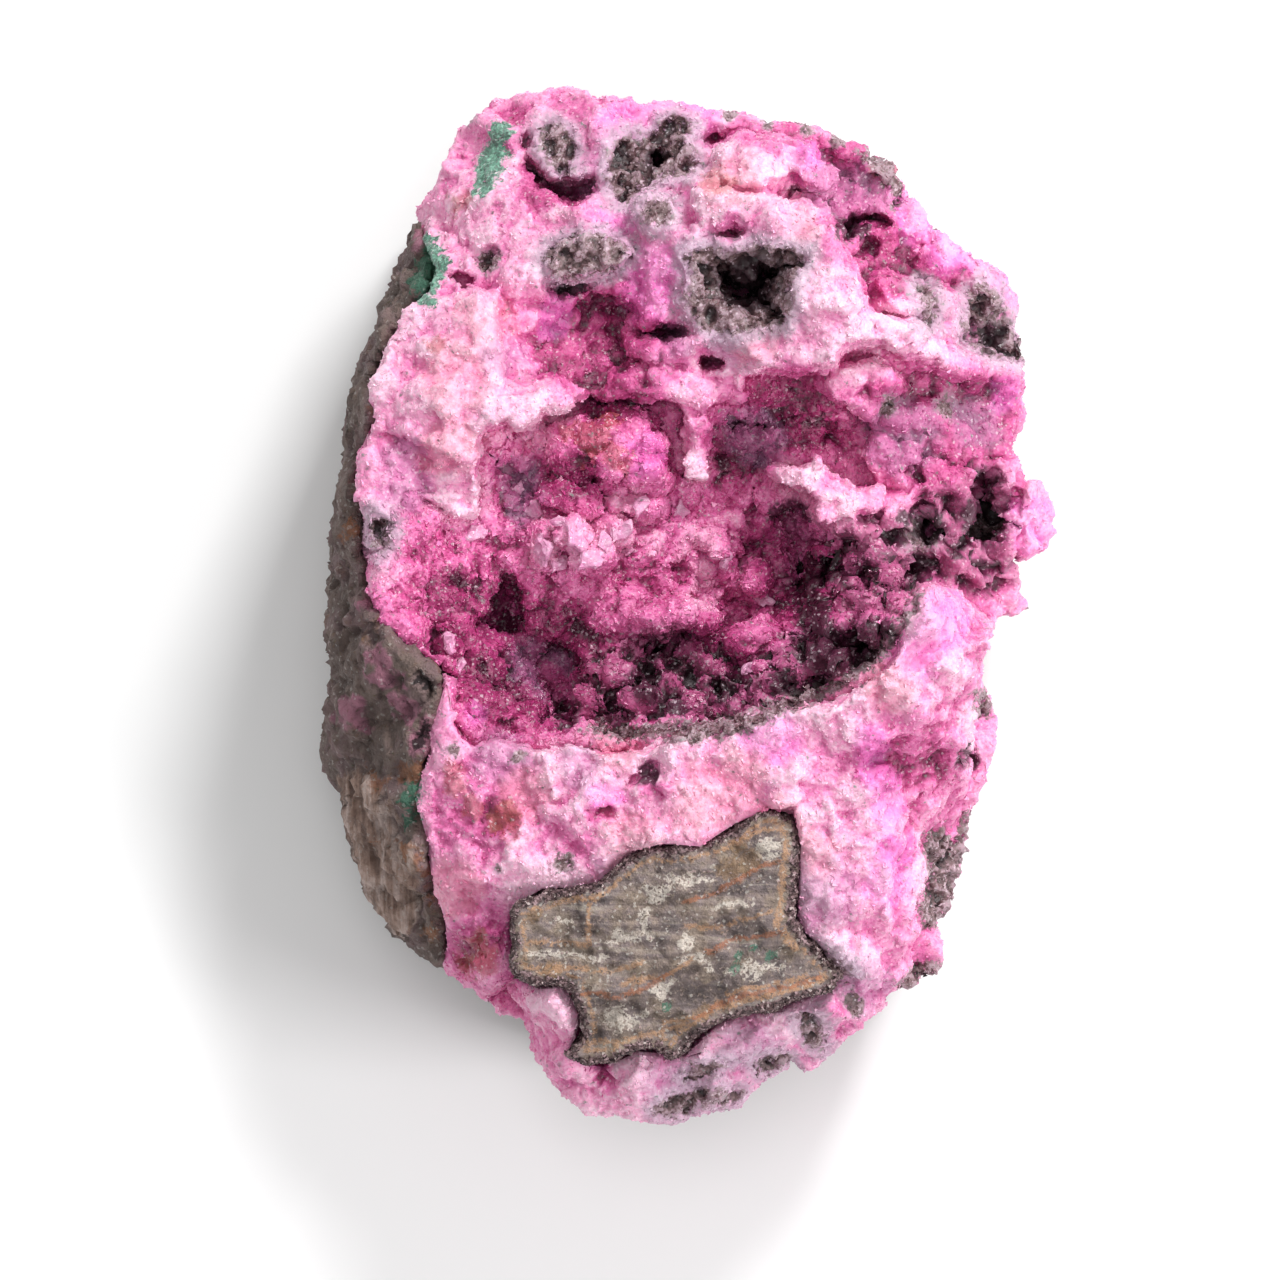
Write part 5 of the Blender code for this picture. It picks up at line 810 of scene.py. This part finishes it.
def grow_crystals(host, name, count, size, seed, where=None):
    """Small pyramids grown out of a piece's front, joined into one mesh that has the host's tints."""
    mesh = host.data
    places = places_of(mesh)[0]
    mesh.calc_loop_triangles()
    corners = np.empty(len(mesh.loop_triangles) * 3, np.int32)
    mesh.loop_triangles.foreach_get("vertices", corners)
    corners = corners.reshape(-1, 3)
    a, b, c = (places[corners[:, k]] for k in range(3))
    facing = np.cross(b - a, c - a)
    area = np.linalg.norm(facing, axis=1)
    chance = area * (facing[:, 2] > -0.3 * area) * smooth(a[:, 2], 6.0, 10.0)
    for name_of_mask in ("dark", "pit_shade"):
        values = np.empty(len(places), np.float32)
        mesh.attributes[name_of_mask].data.foreach_get("value", values)
        chance = chance * (1.0 - 0.85 * values[corners[:, 0]])
    if where is not None:
        chance = chance * where[corners[:, 0]]
    random = np.random.default_rng(seed)
    chosen = random.choice(len(corners), count, p=chance / chance.sum())
    share = np.sort(random.random((count, 2)), axis=1)
    root = (a[chosen] * share[:, :1] + b[chosen] * (share[:, 1:] - share[:, :1])
            + c[chosen] * (1.0 - share[:, 1:]))
    up = facing[chosen] / area[chosen, None] + LEAN * random.normal(size=(count, 3))
    up /= np.linalg.norm(up, axis=1)[:, None]
    side = np.cross(up, random.normal(size=(count, 3)))
    side /= np.linalg.norm(side, axis=1)[:, None]
    reach = (size * (0.55 + 0.9 * random.random(count) ** 2))[:, None]
    points = [root + TIP * reach * up]
    for turn in (0.0, 2.0 * math.pi / 3.0, 4.0 * math.pi / 3.0):
        out = math.cos(turn) * side + math.sin(turn) * np.cross(up, side)
        points.append(root - FOOT * reach * up + SPREAD * reach * out)
    points = (np.stack(points, axis=1).reshape(-1, 3) + DRAWING_SHIFT) / 1000.0
    faces = np.array([[0, 1, 2], [0, 2, 3], [0, 3, 1], [1, 3, 2]])
    faces = (faces[None] + 4 * np.arange(count)[:, None, None]).reshape(-1, 3)
    grown = bpy.data.meshes.new(name)
    grown.from_pydata(points.tolist(), [], faces.tolist())
    for mask in [item for item in mesh.attributes if item.data_type == "FLOAT" and item.domain == "POINT"]:
        values = np.empty(len(places), np.float32)
        mask.data.foreach_get("value", values)
        paint(grown, mask.name, np.repeat(values[corners[chosen, 0]], 4))
    print(name, "has", len(faces), "faces")
    return new_object(name, grown)

# %% [markdown]
# ## Massive calcite
# This is the body of the specimen: coarse calcite that cleaved when it was broken out, with ledges,
# holes and cells of rock. Its large forms are in the solid, so only broken faces of 5 to 1 mm and
# soft knobs are pushed out of it. The knobs are strong where the tint is deep, as on the real piece.

# %% Shape the massive calcite
body = fine_copy("massive_calcite", "calcite_body", DETAIL)
roughen(body, 0.35, [(3.2, 0.8), (1.8, 0.75), (0.95, 0.35)], [(5.0, 1.0), (2.2, 0.4), (1.0, 0.25)],
        0.1, DEEP)
thin_out(body, "massive_calcite", 195000)
paint_tints(body.data)
paint_relief(body.data)
dress(body, "massive_calcite", CALCITE)

sugar = grow_crystals(body, "calcite_crystals", 42000, 0.38, 5)
dress(sugar, "massive_calcite", CALCITE_CRYSTAL)

# %% [markdown]
# ## Druse
# A druse is a crust of small crystals that lines a hollow. This one looks like beads side by side,
# so its knobs are higher and its faces smaller than on the body, and it swells to close over its
# edge. One crust and one mesh of crystals are enough, because the beads are grown together.

# %% Shape the druse
druse = fine_copy("hollow_druse", "hollow_druse_crust", DETAIL * 0.9)
roughen(druse, 0.5, [(3.2, 1.5), (1.9, 1.1), (1.0, 0.5)], [(2.2, 0.5), (1.0, 0.4)], 0.5)
thin_out(druse, "hollow_druse", 120000)
paint_tints(druse.data)
paint_relief(druse.data)
dress(druse, "hollow_druse", DRUSE)

sparkle = grow_crystals(druse, "druse_crystals", 36000, 0.45, 6)
dress(sparkle, "hollow_druse", DRUSE_CRYSTAL)

# %% [markdown]
# ## Crystal plates
# A few larger crystals stand on the druse as pale, thin plates. Calcite cleaves into rhombs, so
# each is a flat rhomb with worn edges. Placing them by eye in three dimensions is slow: they are
# given by their place on the front, and a line from above finds the height of the surface there.

# %% Lay crystal plates on the druse
PLATES = [(-16.6, 9.8, 2.2), (-15.6, 5.8, 2.6), (-14.2, 4.2, 1.8), (-12.4, 7.2, 2.6), (-10.6, 4.6, 2.6),
          (-9.4, 6.4, 1.8), (-7.6, 7.6, 2.2), (-6.6, 5.6, 1.6), (-13.8, 8.6, 1.6), (3.4, 4.8, 1.8),
          (-25.8, -4.0, 2), (-24.6, -6.4, 1.6), (7.6, 0.6, 1.8), (-18.4, 12.2, 1.6), (-5.4, 10.4, 2),
          (-1.4, 9.6, 1.8), (6, -6.6, 1.6), (-22.6, 7.6, 2)]


def lay_plates(host, name, plates, seed):
    """Flat rhombs laid on a piece at plan places (x, y, size), joined into one mesh."""
    tree = BVHTree.FromPolygons([corner.co for corner in host.data.vertices],
                                [face.vertices for face in host.data.polygons])
    random = np.random.default_rng(seed)
    work = bmesh.new()
    for plate_x, plate_y, size in plates:
        above = Vector(((plate_x + DRAWING_SHIFT[0]) / 1000.0, plate_y / 1000.0, 0.1))
        spot, normal = tree.ray_cast(above, Vector((0, 0, -1)))[:2]
        if spot is None:
            continue
        lean = Vector((0, 0, 1)) + 0.5 * normal + 0.4 * Vector(random.normal(size=3).tolist())
        lean.normalize()
        turned = lean.to_track_quat("Z", "Y").to_matrix().to_4x4()
        turned = turned @ Matrix.Rotation(random.random() * 6.3, 4, "Z")
        rhomb = Matrix(((1, 0.35, 0, 0), (0, 0.7, 0, 0), (0, 0, 0.25, 0), (0, 0, 0, 1)))
        rhomb = Matrix.Translation(spot + lean * 0.0003) @ turned @ Matrix.Scale(size / 1000.0, 4) @ rhomb
        bmesh.ops.create_cube(work, size=1.0, matrix=rhomb)
    bmesh.ops.bevel(work, geom=list(work.edges), offset=0.00012, segments=1, affect="EDGES")
    bmesh.ops.triangulate(work, faces=list(work.faces))
    bmesh.ops.subdivide_edges(work, edges=list(work.edges), cuts=3, use_grid_fill=True)
    made = bpy.data.meshes.new(name)
    work.to_mesh(made)
    work.free()
    places, normals = places_of(made)
    worn = crystal_faces(places, 0.8, 61.0) + cloud(places, 1.0, 67.0)
    set_places(made, places + 0.35 * normals * worn[:, None])
    paint(made, "pale", np.full(len(places), 0.7))
    paint(made, "lilac", np.full(len(places), 0.8))
    # Painted shade for the plates: a middle strength of the crease mask, uneven at random.
    paint(made, "crease_shade", 0.3 + 0.3 * cloud(places, 0.8, 71.0))
    print(name, "has", len(made.polygons), "faces")
    return new_object(name, made)


plates = lay_plates(druse, "crystal_plates", PLATES, 8)
dress(plates, "hollow_druse", CALCITE_CRYSTAL)

# %% [markdown]
# ## Host rock on the flank
# The rock shows along the left flank and under the calcite. It broke in blunt steps, so it gets
# larger broken faces and hardly any knobs. It swells a little to meet the calcite without a gap.

# %% Shape the host rock
COLUMN = [(-35.4, -20, 2.4), (-34.4, -23, 3), (-33.4, -27, 3.4), (-32, -31, 3), (-31, -27, 2),
          (-31, -33.6, 2)]
BLUSH = [(-32.3, -8, 1.6), (-32.8, -5.6, 1.2), (-36.6, -11.6, 2), (-35, -13, 1.4), (-33.6, 3, 1),
         (-34, 0, 0.8), (-29.6, 39, 2), (-29, 42, 2), (-34.2, 12, 1.2), (-28, -14, 2),
         (-30.6, -11, 1.2)]
STAIN = [(-34.6, -24.8, 0.5), (-33.4, -25.1, 0.5), (-32.2, -25.3, 0.5), (-31, -25.6, 0.5),
         (-30.2, -26, 0.8), (-36, 8, 0.8), (-30, -18, 1.2), (-33, -18.4, 1), (-28.6, -28, 0.8),
         (-28, -31, 0.8), (-27.4, -35, 0.8)]

rock = fine_copy("host_rock", "host_rock_body", DETAIL * 1.2)
roughen(rock, 0.35, [(2.4, 0.3)], [(5.0, 1.1), (2.2, 0.9), (1.0, 0.6)], 0.45)
thin_out(rock, "host_rock", 90000)
paint_tints(rock.data)
flank = places_of(rock.data)[0]
flank_x, flank_y = wandering(flank, 0.9)
patchy = np.maximum(smooth(flank[:, 2], 22.0, 34.0), smooth(cloud(flank, 6.0, 83.0), 0.0, 0.5))
paint(rock.data, "column", dabs(COLUMN, flank_x, flank_y) * smooth(flank[:, 2], 8.0, 20.0))
for name, spots in (("blush", BLUSH), ("stain", STAIN)):
    paint(rock.data, name, dabs(spots, flank_x, flank_y) * patchy)
paint_relief(rock.data)
dress(rock, "host_rock", HOST_ROCK)

# %% [markdown]
# ## Fragment in the lower face
# The fragment is nearly flat and its markings are what one sees. They are drawn as lines with
# points in millimetres and turned into masks by the distance from the line, so they stay sharp at
# any size. Its dark crust is rough with small crystals.

# %% Draw the fragment's markings
RIM = [(-18.9, -31.9), (-17.2, -31.0), (-15.0, -30.4), (-10.5, -30.0), (-8.8, -28.6), (-6.5, -27.0),
       (-5.0, -26.0), (0.0, -25.6), (2.4, -24.9), (4.0, -24.0), (5.5, -22.8), (7.0, -21.8),
       (8.6, -21.7), (10.2, -22.6), (11.0, -25.6), (10.8, -28.6), (10.4, -33.4), (11.4, -35.0),
       (13.0, -36.2), (15.0, -38.6), (15.3, -39.4), (14.6, -40.5), (10.6, -41.4), (8.4, -42.6),
       (3.4, -43.4), (1.4, -44.6), (-0.4, -46.0), (-0.8, -47.2), (-2.2, -47.8), (-3.4, -46.7),
       (-5.0, -46.5), (-7.0, -47.0), (-8.2, -48.0), (-11.4, -48.3), (-12.9, -47.8), (-12.5, -46.5),
       (-11.2, -45.8), (-11.5, -43.8), (-12.5, -40.6), (-14.0, -40.0), (-16.4, -40.0), (-18.6, -38.9),
       (-19.0, -37.6), (-18.4, -35.8), (-18.8, -34.0)]
TAN_LINES = [[(-17.8, -38.3), (-12.2, -38.3), (-8.1, -38.8), (-5.0, -38.0)],
             [(-17.3, -35.7), (-10.7, -35.7)],
             [(-11.4, -46.3), (-7.1, -46.0), (-3.0, -44.9), (0.1, -44.2)],
             [(-10.9, -30.9), (-11.0, -33), (-10.9, -35.5)],
             [(9.5, -25.0), (9.4, -30.9), (8.6, -33.9), (10.6, -36.4)],
             [(-0.7, -33.9), (3.2, -33.9), (8.3, -32.4)],
             [(-13.8, -31.0), (-9.8, -30.8), (-8.6, -30.0)],
             [(-7.6, -40.0), (-3.0, -39.4), (0.0, -37.4)], [(4.4, -25.0), (6.8, -24.0), (9.0, -23.6)],
             [(-3.0, -44.0), (0.6, -43.4), (3.0, -41.8)], [(4.0, -41.9), (8.0, -41.2), (12.0, -40.2)],
             [(3.6, -41.0), (8.0, -40.2), (11.6, -39.2), (13.6, -39.4)]]
ORANGE_LINES = [[(-11.7, -41.1), (-8.1, -41.2), (-4.5, -40.3), (-2.5, -39.0)],
                [(-0.9, -31.1), (2.1, -30.3), (8.8, -27.2)],
                [(1.4, -36.4), (3.7, -35.6), (6.2, -35.0), (9.3, -34.7)],
                [(0.1, -43.7), (2.1, -42.4), (4.4, -41.4), (8.3, -40.8), (11.6, -39.8), (13.4, -39.2)]]
WHITE_LINES = [[(-4.8, -29.6), (-3.6, -31.2), (-2.6, -29.6)],
               [(-2.5, -28.6), (-0.4, -29.2), (2.1, -28.8)], [(-5, -32), (-5.2, -34), (-4.4, -35.2)],
               [(-8.8, -35.6), (-7, -34.6), (-5.6, -35.4)],
               [(-8.6, -44.6), (-7.4, -43.2), (-6.6, -44.4), (-5.2, -43)],
               [(-4.6, -40.8), (-2.6, -40.6), (-1.8, -39.6)],
               [(-17.2, -37), (-13.4, -36.9), (-9.4, -37.4)], [(-1.2, -37.6), (0.8, -37), (2, -38.4)],
               [(3.6, -38.6), (6.8, -38), (9.6, -38.4)], [(2.4, -32), (4.4, -31.4), (6, -31.8)],
               [(-14.4, -33), (-13, -33.6)]]
WHITE = [(-0.7, -35.6, 1.0), (7.8, -25.9, 1.3), (-3.2, -40.8, 1), (-7.6, -34.9, 0.9),
         (-3.8, -30.2, 0.9), (-8, -43.6, 1.4), (6.4, -38.4, 1.2), (-0.4, -28.9, 0.8)]
AMBER = [(6, -27.2, 1.4), (4, -27.8, 1.4), (-15, -39, 1.2), (4.8, -25.4, 1), (1, -43, 1),
         (-16.6, -32.6, 0.8)]
MALACHITE = [(4.9, -36.9, 0.5), (4.7, -38.2, 0.6), (6.5, -36.1, 0.5), (8.3, -37.0, 0.6),
             (-2.7, -42.4, 0.5)]

# %% Shape the banded fragment
fragment = fine_copy("banded_fragment", "banded_fragment_body", DETAIL * 0.9)
roughen(fragment, 0.25, [(1.2, 0.2)], [(3.0, 0.4), (1.4, 0.4), (0.8, 0.3)], 0.1)
thin_out(fragment, "banded_fragment", 50000)
paint_tints(fragment.data)
x, y = wandering(places_of(fragment.data)[0], 0.3)
inward = depth_in(RIM, x, y)


def drawn(lines, width):
    """A mask of lines with soft edges."""
    return 1.0 - smooth(np.min([away_from(line, x, y) for line in lines], axis=0), 0.0, width)


rim = 1.0 - smooth(inward, 0.1, 0.9)
tan = np.maximum(0.8 * (1.0 - smooth(np.abs(inward - 1.1), 0.0, 0.5)), 0.9 * drawn(TAN_LINES, 0.5))
for name, mask in (("rim", rim), ("tan", tan), ("orange", drawn(ORANGE_LINES, 0.5)),
                   ("white", np.maximum(0.8 * dabs(WHITE, x, y), 0.9 * drawn(WHITE_LINES, 0.6))),
                   ("amber", dabs(AMBER, x, y))):
    paint(fragment.data, name, mask)
paint(fragment.data, "green", dabs(MALACHITE, x, y))
paint_relief(fragment.data)
dress(fragment, "banded_fragment", BANDED_ROCK)

beads = grow_crystals(fragment, "fragment_rim_crystals", 5000, 0.5, 7, rim ** 2)
dress(beads, "banded_fragment", BANDED_ROCK)

# %% [markdown]
# ## Light and camera
# A white room with a lamp beyond the specimen's upper right shows every ledge by the shadow at its
# foot. The lamp isn't large, so that crystal faces flash. A lamp above and one at the right lift
# the shadows. The camera looks straight down from two metres, so the outline is hardly distorted.

# %% Light it
PHOTO_SCALE = 0.10557
VIEW_WIDTH = 1280 * PHOTO_SCALE / 1000.0
CENTRE = ((-5.54 + 0.338) / 1000.0, -3.80 / 1000.0)
CAMERA_HEIGHT = 2.0
MIDDLE_HEIGHT = 0.032

floor_mesh = bpy.data.meshes.new("floor")
floor_mesh.from_pydata([(-3, -3, 0), (3, -3, 0), (3, 3, 0), (-3, 3, 0)], [], [(0, 1, 2, 3)])
floor = new_object("floor", floor_mesh)
paper = bpy.data.materials.new("white paper")
paper.use_nodes = True
paper.node_tree.nodes["Principled BSDF"].inputs["Base Color"].default_value = (0.93, 0.93, 0.93, 1)
paper.node_tree.nodes["Principled BSDF"].inputs["Roughness"].default_value = 0.8
floor_mesh.materials.append(paper)


AIM = (0, 0, 0.02)


def lamp(name, place, size, power):
    """A soft square lamp at a place, aimed at the middle of the specimen."""
    data = bpy.data.lights.new(name, "AREA")
    data.size = size
    data.energy = power
    item = new_object(name, data)
    item.location = place
    item.rotation_euler = (Vector(AIM) - Vector(place)).to_track_quat("-Z", "Y").to_euler()


lamp("window", (0.30, 0.60, 0.60), 0.20, 6.5)
lamp("front", (-0.1, 0.1, 1.2), 0.5, 2.6)
lamp("side", (0.80, -0.30, 0.60), 0.3, 5.6)
world = bpy.data.worlds.new("white room")
bpy.context.scene.world = world
world.use_nodes = True
world.node_tree.nodes["Background"].inputs["Color"].default_value = (1, 1, 1, 1)
world.node_tree.nodes["Background"].inputs["Strength"].default_value = 0.48

# %% Set the camera
camera_data = bpy.data.cameras.new("camera")
camera_data.sensor_width = 36.0
camera_data.lens = 36.0 * (CAMERA_HEIGHT - MIDDLE_HEIGHT) / VIEW_WIDTH
camera = new_object("camera", camera_data)
camera.location = (*CENTRE, CAMERA_HEIGHT)
bpy.context.scene.camera = camera
bpy.context.scene.view_settings.view_transform = "Standard"
print("lens in mm:", round(camera_data.lens, 1))
